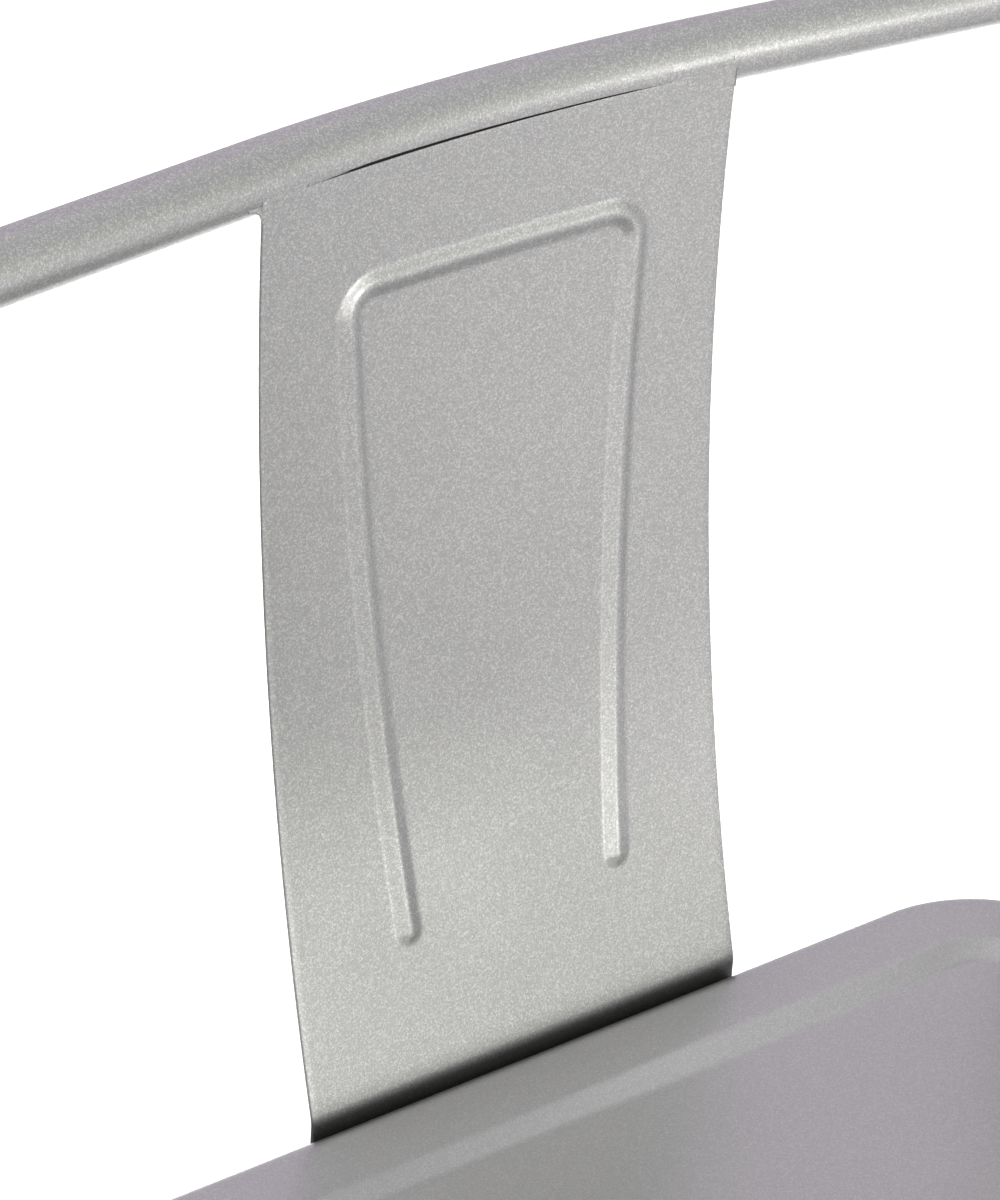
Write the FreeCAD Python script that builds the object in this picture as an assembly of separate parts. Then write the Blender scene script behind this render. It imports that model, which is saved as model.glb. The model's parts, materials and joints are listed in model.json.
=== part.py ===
import FreeCAD, Part
import math
import os

# Bar stool with back: pressed sheet-steel seat and legs, and a bent tube back
# with a pressed splat, bolted on behind the seat.
# Millimetres, +Z up, origin on the floor under the middle of the stool.
# The sitter faces -Y; left and right are as seen from the front.

V = FreeCAD.Vector

# Seat pan
SEAT_HEIGHT = 762.0
SEAT_WIDTH = 413.0
SEAT_DEPTH = 380.0
SEAT_CORNER_RADIUS = 54.0
SEAT_EDGE_RADIUS = 11.0
SEAT_SHEET = 1.5
SKIRT_DEPTH = 44.0
RIM_WIDTH = 32.3
STEP_WIDTH = 9.5
STEP_DEPTH = 2.5
DRAIN_DIAMETER = 10.0

# Legs: the four corners of one tapering sheet shell that spreads towards the floor
LEG_SPREAD_X = 40.0
LEG_SPREAD_Y = 50.0
LEG_FOOT_CORNER_RADIUS = 14.0
LEG_SHEET = 1.5
LEG_FOOT_WIDTH = 34.0
LEG_KNEE_WIDTH = 52.0
LEG_KNEE_BELOW_SEAT = 197.0
LEG_ARCH_RADIUS = 260.0
LEG_HEM_WIDTH = 6.0
LEG_BEAD_INSET = 14.0
LEG_BEAD_WIDTH = 9.0
LEG_BEAD_HEIGHT = 1.4
LEG_BEAD_BOTTOM = 90.0
LEG_BEAD_TOP_BELOW_SEAT = 137.0

# Rubber feet pushed over the leg ends
FOOT_PAD = 6.0
FOOT_HEIGHT = 30.0
FOOT_WALL = 2.0
FOOT_LIP = 4.0
FOOT_CORNER_RADIUS = 5.0
FOOT_CHAMFER = 1.5

# Footrest and stretchers: channels welded between the legs
BAR_HEIGHT = 235.0
BAR_FACE = 26.0
BAR_DEPTH = 12.0
BAR_SHEET = 1.5
BAR_BEND_RADIUS = 4.0
BAR_END_INSET = 26.0

# Crossed straps under the seat, riveted where they meet
BRACE_BELOW_SEAT = 120.0
BRACE_WIDTH = 22.0
BRACE_SHEET = 2.5
BRACE_TAB = 24.0
RIVET_DIAMETER = 8.0
RIVET_HEAD_DIAMETER = 14.0
RIVET_HEAD_HEIGHT = 3.0

# Back rail: one bent tube
RAIL_DIAMETER = 22.0
RAIL_WALL = 1.2
RAIL_ABOVE_SEAT = 323.9
RAIL_BEHIND_SEAT = 37.0
RAIL_SWEEP = 7.0
RAIL_BOW_RADIUS = 733.0
HOOP_OUTSIDE_SEAT = 33.8
HOOP_CORNER_RADIUS = 48.0
HOOP_ELBOW_OUTSIDE_SEAT = 19.0
HOOP_ELBOW_SETBACK = 6.0
HOOP_ELBOW_ABOVE_SEAT = 38.0
HOOP_ELBOW_RADIUS = 45.0
HOOP_SETBACK = 60.0
HOOP_KINK_BELOW_SEAT = 8.0
HOOP_KINK_RADIUS = 45.0
HOOP_TAIL = 112.0
PLUG_HEAD = 2.0
PLUG_STEM = 12.0

# Splat: bowed sheet under the front of the rail, turned down behind the seat
SPLAT_SHEET = 1.5
SPLAT_FOOT_WIDTH = 172.7
SPLAT_WAIST_WIDTH = 173.8
SPLAT_TOP_WIDTH = 177.7
SPLAT_BOW = 11.8
SPLAT_BEND_RADIUS = 40.0
SPLAT_BEND_BELOW_SEAT = 2.0
SPLAT_FOOT_BELOW_SEAT = 37.0
RIB_TOP_ABOVE_SEAT = 280.5
RIB_FOOT_ABOVE_SEAT = 50.0
RIB_TOP_SPAN = 107.9
RIB_FOOT_SPAN = 83.3
RIB_CORNER_RADIUS = 10.0
RIB_WIDTH = 13.0
RIB_CROWN = 5.5
RIB_HEIGHT = 1.8
WELD_LEFT_LENGTH = 17.0
WELD_RIGHT_LENGTH = 24.0
WELD_RADIUS = 8.0
WELD_PROUD = 0.35
WELD_DROP = 3.5

# Fasteners that hold the back to the legs and the seat
BACK_BOLT_DIAMETER = 6.0
BACK_BOLT_HEAD_DIAMETER = 12.0
BACK_BOLT_HEAD_HEIGHT = 3.3
BACK_BOLT_SOCKET = 4.0
BACK_BOLT_BELOW_SEAT = 36.0
BACK_BOLT_PITCH = 66.0
BACK_NUT_ACROSS = 10.0
BACK_NUT_HEIGHT = 5.0
SPACER_DIAMETER = 16.0
SPACER_WING = 3.0
SPLAT_SCREW_DIAMETER = 5.0
SPLAT_SCREW_HEAD_DIAMETER = 9.5
SPLAT_SCREW_HEAD_HEIGHT = 2.8
SPLAT_SCREW_SOCKET = 3.0
SPLAT_SCREW_BELOW_SEAT = 24.0
SPLAT_SCREW_TO_LEG = 18.0
SPLAT_NUT_ACROSS = 8.0
SPLAT_NUT_HEIGHT = 4.0
BOLT_TAIL = 2.0

# Clearances between pieces
SHEET_GAP = 0.1
RAIL_GAP = 0.15
SEAM_GAP = 0.4
HOLE_CLEARANCE = 0.2
THREAD_CLEARANCE = 0.05
FOOT_CLEARANCE = 0.1
PLUG_CLEARANCE = 0.1
LEG_HEAD_CLEARANCE = 1.0
WELD_END_CLEARANCE = 0.5

# Shares of a size that shape small details
BUTTON_ROUNDING = 0.7
SOCKET_DEPTH = 0.5
RIB_END_CROWN_REACHES = (0.4, 0.5)
RIB_END_FLANK_REACH = 0.48

# How far a cutting tool runs past the face that it cuts, the least width of a tapered
# section, and how close two places count as one
OVERCUT = 1.0
LEAST_HALF_WIDTH = 0.1
LEAST_GROOVE = 0.02
SAME_PLACE = 1e-4

RAIL_RADIUS = RAIL_DIAMETER / 2
SIDE_SLOPE = LEG_SPREAD_X / SEAT_HEIGHT
END_SLOPE = LEG_SPREAD_Y / SEAT_HEIGHT
CORNER_SLOPE = (LEG_FOOT_CORNER_RADIUS - SEAT_CORNER_RADIUS) / SEAT_HEIGHT
SKIRT_BOTTOM = SEAT_HEIGHT - SKIRT_DEPTH
LEG_TOP = SEAT_HEIGHT - SEAT_EDGE_RADIUS - LEG_HEAD_CLEARANCE
LEG_OUTSIDE = SEAT_SHEET + SHEET_GAP
LEG_INSIDE = LEG_OUTSIDE + LEG_SHEET
LEG_HEM_INSIDE = LEG_INSIDE + LEG_SHEET


def unit(vector):
    """The vector at length one."""
    return vector * (1 / vector.Length)


def half_x(z):
    """Half the width of the stool's shell at height z."""
    return SEAT_WIDTH / 2 + SIDE_SLOPE * (SEAT_HEIGHT - z)


def half_y(z):
    """Half the depth of the stool's shell at height z."""
    return SEAT_DEPTH / 2 + END_SLOPE * (SEAT_HEIGHT - z)


def corner_radius(z):
    """Corner radius of the stool's shell at height z."""
    return SEAT_CORNER_RADIUS + CORNER_SLOPE * (SEAT_HEIGHT - z)


def line(start, end):
    return Part.LineSegment(start, end).toShape()


def arc(start, middle, end):
    return Part.Arc(start, middle, end).toShape()


def rounded_rectangle(hx, hy, radius, z):
    """Closed outline with round corners, centred on the Z axis."""
    arcs = []
    for index, (sx, sy) in enumerate([(1, 1), (-1, 1), (-1, -1), (1, -1)]):
        centre = V(sx * (hx - radius), sy * (hy - radius), z)
        angles = [math.radians(90 * index + turn) for turn in (0, 45, 90)]
        arcs.append([centre + V(math.cos(a), math.sin(a), 0) * radius for a in angles])
    edges = []
    for points, following in zip(arcs, arcs[1:] + arcs[:1]):
        edges.append(arc(*points))
        edges.append(line(points[2], following[0]))
    return Part.Wire(edges)


def taper(low, high, inset):
    """Solid inside the stool's shell between two heights, its walls moved in by inset."""
    outlines = [rounded_rectangle(half_x(z) - inset, half_y(z) - inset, corner_radius(z) - inset, z)
                for z in (low, high)]
    return Part.makeLoft(outlines, True, True)


def sheet_wall(low, high, outside, inside):
    """Shell wall between two heights and two insets."""
    return taper(low, high, outside).cut(taper(low - OVERCUT, high + OVERCUT, inside))


def edges_at_height(shape, z):
    return [e for e in shape.Edges if all(math.isclose(v.Z, z, abs_tol=SAME_PLACE) for v in e.Vertexes)]


def bent_path(points, radii):
    """Edges of a polyline whose inner corners are rounded by tangent arcs."""
    edges = []
    here = points[0]
    for before, corner, after, radius in zip(points, points[1:], points[2:], radii):
        back = unit(before - corner)
        ahead = unit(after - corner)
        half_angle = math.acos(back.dot(ahead)) / 2
        run = radius / math.tan(half_angle)
        inwards = unit(back + ahead)
        middle = corner + inwards * (radius / math.sin(half_angle) - radius)
        edges.append(line(here, corner + back * run))
        edges.append(arc(corner + back * run, middle, corner + ahead * run))
        here = corner + ahead * run
    edges.append(line(here, points[-1]))
    return edges


def round_bar(path, radius):
    """Round bar along a path of lines and tangent arcs."""
    first = path[0]
    start = first.valueAt(first.FirstParameter)
    section = Part.makeCircle(radius, start, first.tangentAt(first.FirstParameter))
    return Part.Wire(path).makePipeShell([Part.Wire(section)], True, False)


def mirrored_x(shape):
    return shape.mirror(V(0, 0, 0), V(1, 0, 0))


def mirrored_y(shape):
    return shape.mirror(V(0, 0, 0), V(0, 1, 0))


def hexagon_bar(across, height, base, axis):
    """Hexagonal prism standing on base along an axis."""
    radius = across / math.sqrt(3)
    corners = [V(math.cos(a), math.sin(a), 0) * radius for a in (math.pi / 3 * i for i in range(7))]
    bar = Part.Face(Part.makePolygon(corners)).extrude(V(0, 0, height))
    bar.Placement = FreeCAD.Placement(base, FreeCAD.Rotation(V(0, 0, 1), axis))
    return bar


def button_bolt(diameter, length, head_diameter, head_height, socket, seat, axis):
    """Button-head bolt whose head sits on the point seat and faces along axis."""
    head = Part.makeCylinder(head_diameter / 2, head_height, seat, axis)
    crown = seat + axis * head_height
    rim = [e for e in head.Edges if e.Closed and e.Curve.Center.distanceToPoint(crown) < SAME_PLACE]
    head = head.makeFillet(head_height * BUTTON_ROUNDING, rim)
    depth = head_height * SOCKET_DEPTH
    head = head.cut(hexagon_bar(socket, depth + OVERCUT, crown - axis * depth, axis))
    return head.fuse(Part.makeCylinder(diameter / 2, length, seat - axis * length, axis))


def hexagon_nut(diameter, across, height, base, axis):
    """Nut for a bolt of the given diameter, standing on base along an axis."""
    radius = diameter / 2 + THREAD_CLEARANCE
    bore = Part.makeCylinder(radius, height + 2 * OVERCUT, base - axis * OVERCUT, axis)
    return hexagon_bar(across, height, base, axis).cut(bore)


def seat_recess():
    """The volume pressed out of the seat's top inside its rim."""
    outlines = []
    for inset, z in ((RIM_WIDTH, SEAT_HEIGHT), (RIM_WIDTH + STEP_WIDTH, SEAT_HEIGHT - STEP_DEPTH)):
        outlines.append(rounded_rectangle(SEAT_WIDTH / 2 - inset, SEAT_DEPTH / 2 - inset,
                                          SEAT_CORNER_RADIUS - inset, z))
    return Part.makeLoft(outlines, True, True)


def seat_pan(holes):
    """Pressed seat with a rolled edge, a flared skirt and a recessed middle."""
    ceiling = SEAT_HEIGHT - SEAT_SHEET
    outer = taper(SKIRT_BOTTOM, SEAT_HEIGHT, 0)
    outer = outer.makeFillet(SEAT_EDGE_RADIUS, edges_at_height(outer, SEAT_HEIGHT))
    hollow = taper(SKIRT_BOTTOM - OVERCUT, ceiling, SEAT_SHEET)
    hollow = hollow.makeFillet(SEAT_EDGE_RADIUS - SEAT_SHEET, edges_at_height(hollow, ceiling))
    recess = seat_recess()
    drain = Part.makeCylinder(DRAIN_DIAMETER / 2, SKIRT_DEPTH, V(0, 0, SKIRT_BOTTOM))
    pan = outer.cut(recess).cut(hollow.cut(recess.translated(V(0, 0, -SEAT_SHEET))))
    return pan.cut([drain] + holes)


class Wall:
    """A sloping wall of the shell: the front one, or the left one."""

    def __init__(self, along, depth, is_front):
        self.along = along
        self.depth = depth
        self.is_front = is_front

    def upright(self, u, z, reach):
        """Point u along the wall at height z, out from the middle by reach."""
        return V(u, -reach, z) if self.is_front else V(-reach, u, z)

    def at(self, u, z, inset):
        """Point on the wall's slope, inset in from the shell's outside."""
        return self.upright(u, z, self.depth(z) - inset)


FRONT_WALL = Wall(half_x, half_y, True)
LEFT_WALL = Wall(half_y, half_x, False)


class LegEdge:
    """Free edge of a leg's wall, straight from foot to knee and then an arch."""

    def __init__(self, wall, offset):
        foot = V(wall.along(0) - LEG_OUTSIDE - LEG_FOOT_WIDTH, 0, 0)
        knee_z = SEAT_HEIGHT - LEG_KNEE_BELOW_SEAT
        knee = V(wall.along(knee_z) - LEG_OUTSIDE - LEG_KNEE_WIDTH, 0, knee_z)
        along = unit(knee - foot)
        outwards = V(along.z, 0, -along.x)
        self.knee = knee + outwards * offset
        self.lean = along.x / along.z
        self.radius = LEG_ARCH_RADIUS + offset
        self.centre = knee - outwards * LEG_ARCH_RADIUS
        self.knee_angle = math.atan2(outwards.z, outwards.x)

    def straight(self, z):
        """(u, z) on the straight part."""
        return self.knee.x + (z - self.knee.z) * self.lean, z

    def arch_to(self, z):
        """Three (u, z) points on the arch, from the knee up to height z."""
        top_angle = math.asin((z - self.centre.z) / self.radius)
        angles = (self.knee_angle, (self.knee_angle + top_angle) / 2, top_angle)
        return [(self.centre.x + self.radius * math.cos(a), self.centre.z + self.radius * math.sin(a))
                for a in angles]


def leg_window(wall, offset):
    """Prism of the opening between two legs, through the facing walls."""
    edge = LegEdge(wall, offset)
    arch = edge.arch_to(LEG_TOP + OVERCUT)
    foot = edge.straight(-OVERCUT)
    reach = 2 * wall.depth(0)
    right = [wall.upright(u, z, reach) for u, z in [foot] + arch]
    left = [wall.upright(-u, z, reach) for u, z in [foot] + arch]
    outline = [line(left[0], right[0]), line(right[0], right[1]), arc(*right[1:]),
               line(right[3], left[3]), arc(*left[:0:-1]), line(left[1], left[0])]
    return Part.Face(Part.Wire(outline)).extrude(wall.upright(0, 0, -2 * reach))


def bead_bar(wall, thinning):
    """Round-ended bar along a leg's wall; its cap stands out of the wall as a bead."""
    radius = (LEG_BEAD_WIDTH ** 2 / 4 + LEG_BEAD_HEIGHT ** 2) / (2 * LEG_BEAD_HEIGHT)
    sink = LEG_OUTSIDE + radius - LEG_BEAD_HEIGHT
    edge = LegEdge(wall, LEG_BEAD_INSET)
    plan = [edge.straight(LEG_BEAD_BOTTOM)] + edge.arch_to(SEAT_HEIGHT - LEG_BEAD_TOP_BELOW_SEAT)
    points = [wall.at(-u, z, sink) for u, z in plan]
    path = [line(points[0], points[1]), arc(*points[1:])]
    ends = [Part.makeSphere(radius - thinning, p) for p in (points[0], points[3])]
    return round_bar(path, radius - thinning).fuse(ends)


def front_left_leg():
    """Pressed corner leg with hemmed edges and a raised bead on both walls."""
    reach = 2 * half_x(0)
    corner = Part.makeBox(reach, reach, SEAT_HEIGHT, V(-reach, -reach, 0))
    windows = [leg_window(wall, 0) for wall in (FRONT_WALL, LEFT_WALL)]
    edge_zones = [leg_window(wall, LEG_HEM_WIDTH) for wall in (FRONT_WALL, LEFT_WALL)]
    sheet = sheet_wall(FOOT_PAD, LEG_TOP, LEG_OUTSIDE, LEG_INSIDE).common(corner).cut(windows)
    hem = sheet_wall(FOOT_HEIGHT + FOOT_CLEARANCE, LEG_TOP, LEG_INSIDE, LEG_HEM_INSIDE)
    hem = hem.common(corner).cut(windows)
    leg = sheet.fuse([hem.common(zone) for zone in edge_zones])
    outside = taper(FOOT_PAD, LEG_TOP, LEG_OUTSIDE)
    beads = [bead_bar(wall, 0).cut(outside) for wall in (FRONT_WALL, LEFT_WALL)]
    grooves = [bead_bar(wall, LEG_SHEET) for wall in (FRONT_WALL, LEFT_WALL)]
    return leg.fuse(beads).cut(grooves).removeSplitter()


def front_left_foot():
    """Rubber block with a slot for the end of the leg and a pad under it."""
    span = LEG_OUTSIDE + LEG_FOOT_WIDTH + FOOT_LIP
    inner_x = span - half_x(0)
    inner_y = span - half_y(0)
    reach = 2 * span
    corner = Part.makeBox(reach, reach, FOOT_HEIGHT, V(inner_x - reach, inner_y - reach, 0))
    block = taper(0, FOOT_HEIGHT, LEG_OUTSIDE - FOOT_WALL).common(corner)
    uprights = [e for e in block.Edges
                if e.BoundBox.ZLength > FOOT_PAD
                and (abs(e.BoundBox.XMax - inner_x) < SAME_PLACE
                     or abs(e.BoundBox.YMax - inner_y) < SAME_PLACE)]
    block = block.makeFillet(FOOT_CORNER_RADIUS, uprights)
    block = block.makeChamfer(FOOT_CHAMFER, edges_at_height(block, 0))
    slot = sheet_wall(FOOT_PAD, FOOT_HEIGHT + OVERCUT, LEG_OUTSIDE - FOOT_CLEARANCE,
                      LEG_INSIDE + FOOT_CLEARANCE)
    windows = [leg_window(wall, -FOOT_CLEARANCE) for wall in (FRONT_WALL, LEFT_WALL)]
    return block.cut(slot.cut(windows))


def channel_bar(wall):
    """Channel across the inside of a wall's two legs, its web against their hems."""
    radius = BAR_BEND_RADIUS
    lower = bent_path([V(0, BAR_DEPTH, -BAR_FACE / 2), V(0, 0, -BAR_FACE / 2),
                       V(0, 0, BAR_FACE / 2), V(0, BAR_DEPTH, BAR_FACE / 2)], [radius, radius])
    rise = BAR_FACE / 2 - BAR_SHEET
    inner = bent_path([V(0, BAR_DEPTH, rise), V(0, BAR_SHEET, rise),
                       V(0, BAR_SHEET, -rise), V(0, BAR_DEPTH, -rise)],
                      [radius - BAR_SHEET, radius - BAR_SHEET])
    lips = [line(V(0, BAR_DEPTH, BAR_FACE / 2), V(0, BAR_DEPTH, rise)),
            line(V(0, BAR_DEPTH, -rise), V(0, BAR_DEPTH, -BAR_FACE / 2))]
    section = Part.Face(Part.Wire(lower + [lips[0]] + inner + [lips[1]]))
    half_length = wall.along(BAR_HEIGHT) - BAR_END_INSET
    bar = section.extrude(V(2 * half_length, 0, 0)).translated(V(-half_length, 0, 0))
    slope = wall.depth(0) - wall.depth(1)
    bar.rotate(V(0, 0, 0), V(1, 0, 0), -math.degrees(math.atan(slope)))
    bar.translate(V(0, LEG_HEM_INSIDE + SHEET_GAP - wall.depth(BAR_HEIGHT), BAR_HEIGHT))
    if not wall.is_front:
        bar.rotate(V(0, 0, 0), V(0, 0, 1), -90)
    return bar


def brace(top, side):
    """Strap across the stool from corner to corner, with a tab down inside each leg."""
    face = LEG_INSIDE + SHEET_GAP
    centre_x = half_x(top) - corner_radius(top)
    centre_y = half_y(top) - corner_radius(top)
    reach = 2 * half_x(0)
    band = Part.makeBox(2 * reach, BRACE_WIDTH, SEAT_HEIGHT, V(-reach, -BRACE_WIDTH / 2, 0))
    band.rotate(V(0, 0, 0), V(0, 0, 1), math.degrees(math.atan2(side * centre_y, centre_x)))
    tabs = sheet_wall(top - BRACE_TAB, top, face, face + BRACE_SHEET)
    strap = tabs.fuse(taper(top - BRACE_SHEET, top, face)).common(band)
    hole = Part.makeCylinder(RIVET_DIAMETER / 2 + HOLE_CLEARANCE, SEAT_HEIGHT)
    return strap.removeSplitter().cut(hole)


def brace_rivet(top):
    """Rivet through both straps, its heads on their outer faces."""
    grip = 2 * BRACE_SHEET
    shank = Part.makeCylinder(RIVET_DIAMETER / 2, grip, V(0, 0, top - grip))
    radius = (RIVET_HEAD_DIAMETER ** 2 / 4 + RIVET_HEAD_HEIGHT ** 2) / (2 * RIVET_HEAD_HEIGHT)
    dome = Part.makeSphere(radius, V(0, 0, RIVET_HEAD_HEIGHT - radius))
    dome = dome.common(Part.makeCylinder(RIVET_HEAD_DIAMETER, RIVET_HEAD_HEIGHT))
    lower = dome.mirror(V(0, 0, 0), V(0, 0, 1)).translated(V(0, 0, top - grip))
    return shank.fuse([dome.translated(V(0, 0, top)), lower])


class Rail:
    """Axis of the bent tube: bowed top rail, corners, sides, elbows, and tails beside the rear legs."""

    def __init__(self):
        sweep = math.radians(RAIL_SWEEP)
        self.middle = V(0, SEAT_DEPTH / 2 + RAIL_BEHIND_SEAT, SEAT_HEIGHT + RAIL_ABOVE_SEAT)
        apex = self.middle + V(0, RAIL_BOW_RADIUS * (1 / math.cos(sweep) - 1), 0)
        shoulder = apex + V(1, -math.tan(sweep), 0) * (SEAT_WIDTH / 2 + HOOP_OUTSIDE_SEAT)
        elbow = V(SEAT_WIDTH / 2 + HOOP_ELBOW_OUTSIDE_SEAT, SEAT_DEPTH / 2 - HOOP_ELBOW_SETBACK,
                  SEAT_HEIGHT + HOOP_ELBOW_ABOVE_SEAT)
        kink_z = SEAT_HEIGHT - HOOP_KINK_BELOW_SEAT
        stand_off = (RAIL_RADIUS + RAIL_GAP) * math.hypot(1, SIDE_SLOPE)
        kink = V(half_x(kink_z) + stand_off, SEAT_DEPTH / 2 - HOOP_SETBACK, kink_z)
        self.tail = unit(V(SIDE_SLOPE, END_SLOPE, -1))
        self.kink = kink
        self.end = kink + self.tail * HOOP_TAIL
        right = [self.end, kink, elbow, shoulder]
        left = [V(-p.x, p.y, p.z) for p in right]
        side_radii = [HOOP_KINK_RADIUS, HOOP_ELBOW_RADIUS, HOOP_CORNER_RADIUS]
        radii = side_radii + [RAIL_BOW_RADIUS] + side_radii[::-1]
        self.path = bent_path(left + [apex] + right[::-1], radii)

    def bow(self, x):
        """Point on the bowed middle of the top rail."""
        drop = RAIL_BOW_RADIUS - math.sqrt(RAIL_BOW_RADIUS ** 2 - x ** 2)
        return self.middle + V(x, -drop, 0)

    def on_tail(self, z):
        """Point on the right tail at height z."""
        return self.kink + self.tail * ((z - self.kink.z) / self.tail.z)


class BackFixing:
    """Bolts, nuts and spacers through the right tail; the left ones mirror them."""

    def __init__(self, rail):
        self.axis = unit(V(1, 0, SIDE_SLOPE))
        upper = SEAT_HEIGHT - BACK_BOLT_BELOW_SEAT
        self.upper = rail.on_tail(upper)
        self.lower = rail.on_tail(upper - BACK_BOLT_PITCH)
        lean = math.hypot(1, SIDE_SLOPE)
        self.to_leg = RAIL_RADIUS + RAIL_GAP + LEG_OUTSIDE / lean
        self.to_nut = self.to_leg + LEG_SHEET / lean

    def pair(self, make):
        """The piece made at both bolts on both sides."""
        right = [make(self.upper), make(self.lower)]
        return right + [mirrored_x(piece) for piece in right]

    def holes(self):
        radius = BACK_BOLT_DIAMETER / 2 + HOLE_CLEARANCE
        reach = self.axis * (2 * RAIL_DIAMETER)
        return self.pair(lambda at: Part.makeCylinder(radius, 2 * reach.Length, at - reach, self.axis))

    def bolts(self):
        length = RAIL_RADIUS + self.to_nut + BACK_NUT_HEIGHT + BOLT_TAIL
        return self.pair(lambda at: button_bolt(
            BACK_BOLT_DIAMETER, length, BACK_BOLT_HEAD_DIAMETER, BACK_BOLT_HEAD_HEIGHT,
            BACK_BOLT_SOCKET, at + self.axis * RAIL_RADIUS, self.axis))

    def nuts(self):
        return self.pair(lambda at: hexagon_nut(
            BACK_BOLT_DIAMETER, BACK_NUT_ACROSS, BACK_NUT_HEIGHT, at - self.axis * self.to_nut,
            self.axis * -1))

    def spacers(self, around_tube):
        """Saddles that fill the space between the tube and the leg at the lower bolts."""
        length = self.to_leg - RAIL_RADIUS + SPACER_WING
        foot = self.lower - self.axis * self.to_leg
        saddle = Part.makeCylinder(SPACER_DIAMETER / 2, length, foot, self.axis)
        right = saddle.cut([around_tube] + self.holes())
        return [right, mirrored_x(right)]


class SplatFixing:
    """Screws and nuts through the splat's foot and the seat's rear skirt."""

    def __init__(self):
        z = SEAT_HEIGHT - SPLAT_SCREW_BELOW_SEAT
        self.axis = unit(V(0, 1, END_SLOPE))
        self.to_nut = SEAT_SHEET / math.hypot(1, END_SLOPE)
        leg_u = LegEdge(FRONT_WALL, 0).arch_to(z)[2][0]
        pitch = leg_u - SPLAT_SCREW_TO_LEG
        self.places = [V(x, half_y(z), z) for x in (-pitch, 0, pitch)]

    def holes(self):
        radius = SPLAT_SCREW_DIAMETER / 2 + HOLE_CLEARANCE
        length = SKIRT_DEPTH / 2
        return [Part.makeCylinder(radius, 2 * length, p - self.axis * length, self.axis)
                for p in self.places]

    def screws(self):
        to_head = SHEET_GAP + SPLAT_SHEET
        length = to_head + self.to_nut + SPLAT_NUT_HEIGHT + BOLT_TAIL
        return [button_bolt(SPLAT_SCREW_DIAMETER, length, SPLAT_SCREW_HEAD_DIAMETER,
                            SPLAT_SCREW_HEAD_HEIGHT, SPLAT_SCREW_SOCKET, p + self.axis * to_head, self.axis)
                for p in self.places]

    def nuts(self):
        return [hexagon_nut(SPLAT_SCREW_DIAMETER, SPLAT_NUT_ACROSS, SPLAT_NUT_HEIGHT,
                            p - self.axis * self.to_nut, self.axis * -1) for p in self.places]


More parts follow.
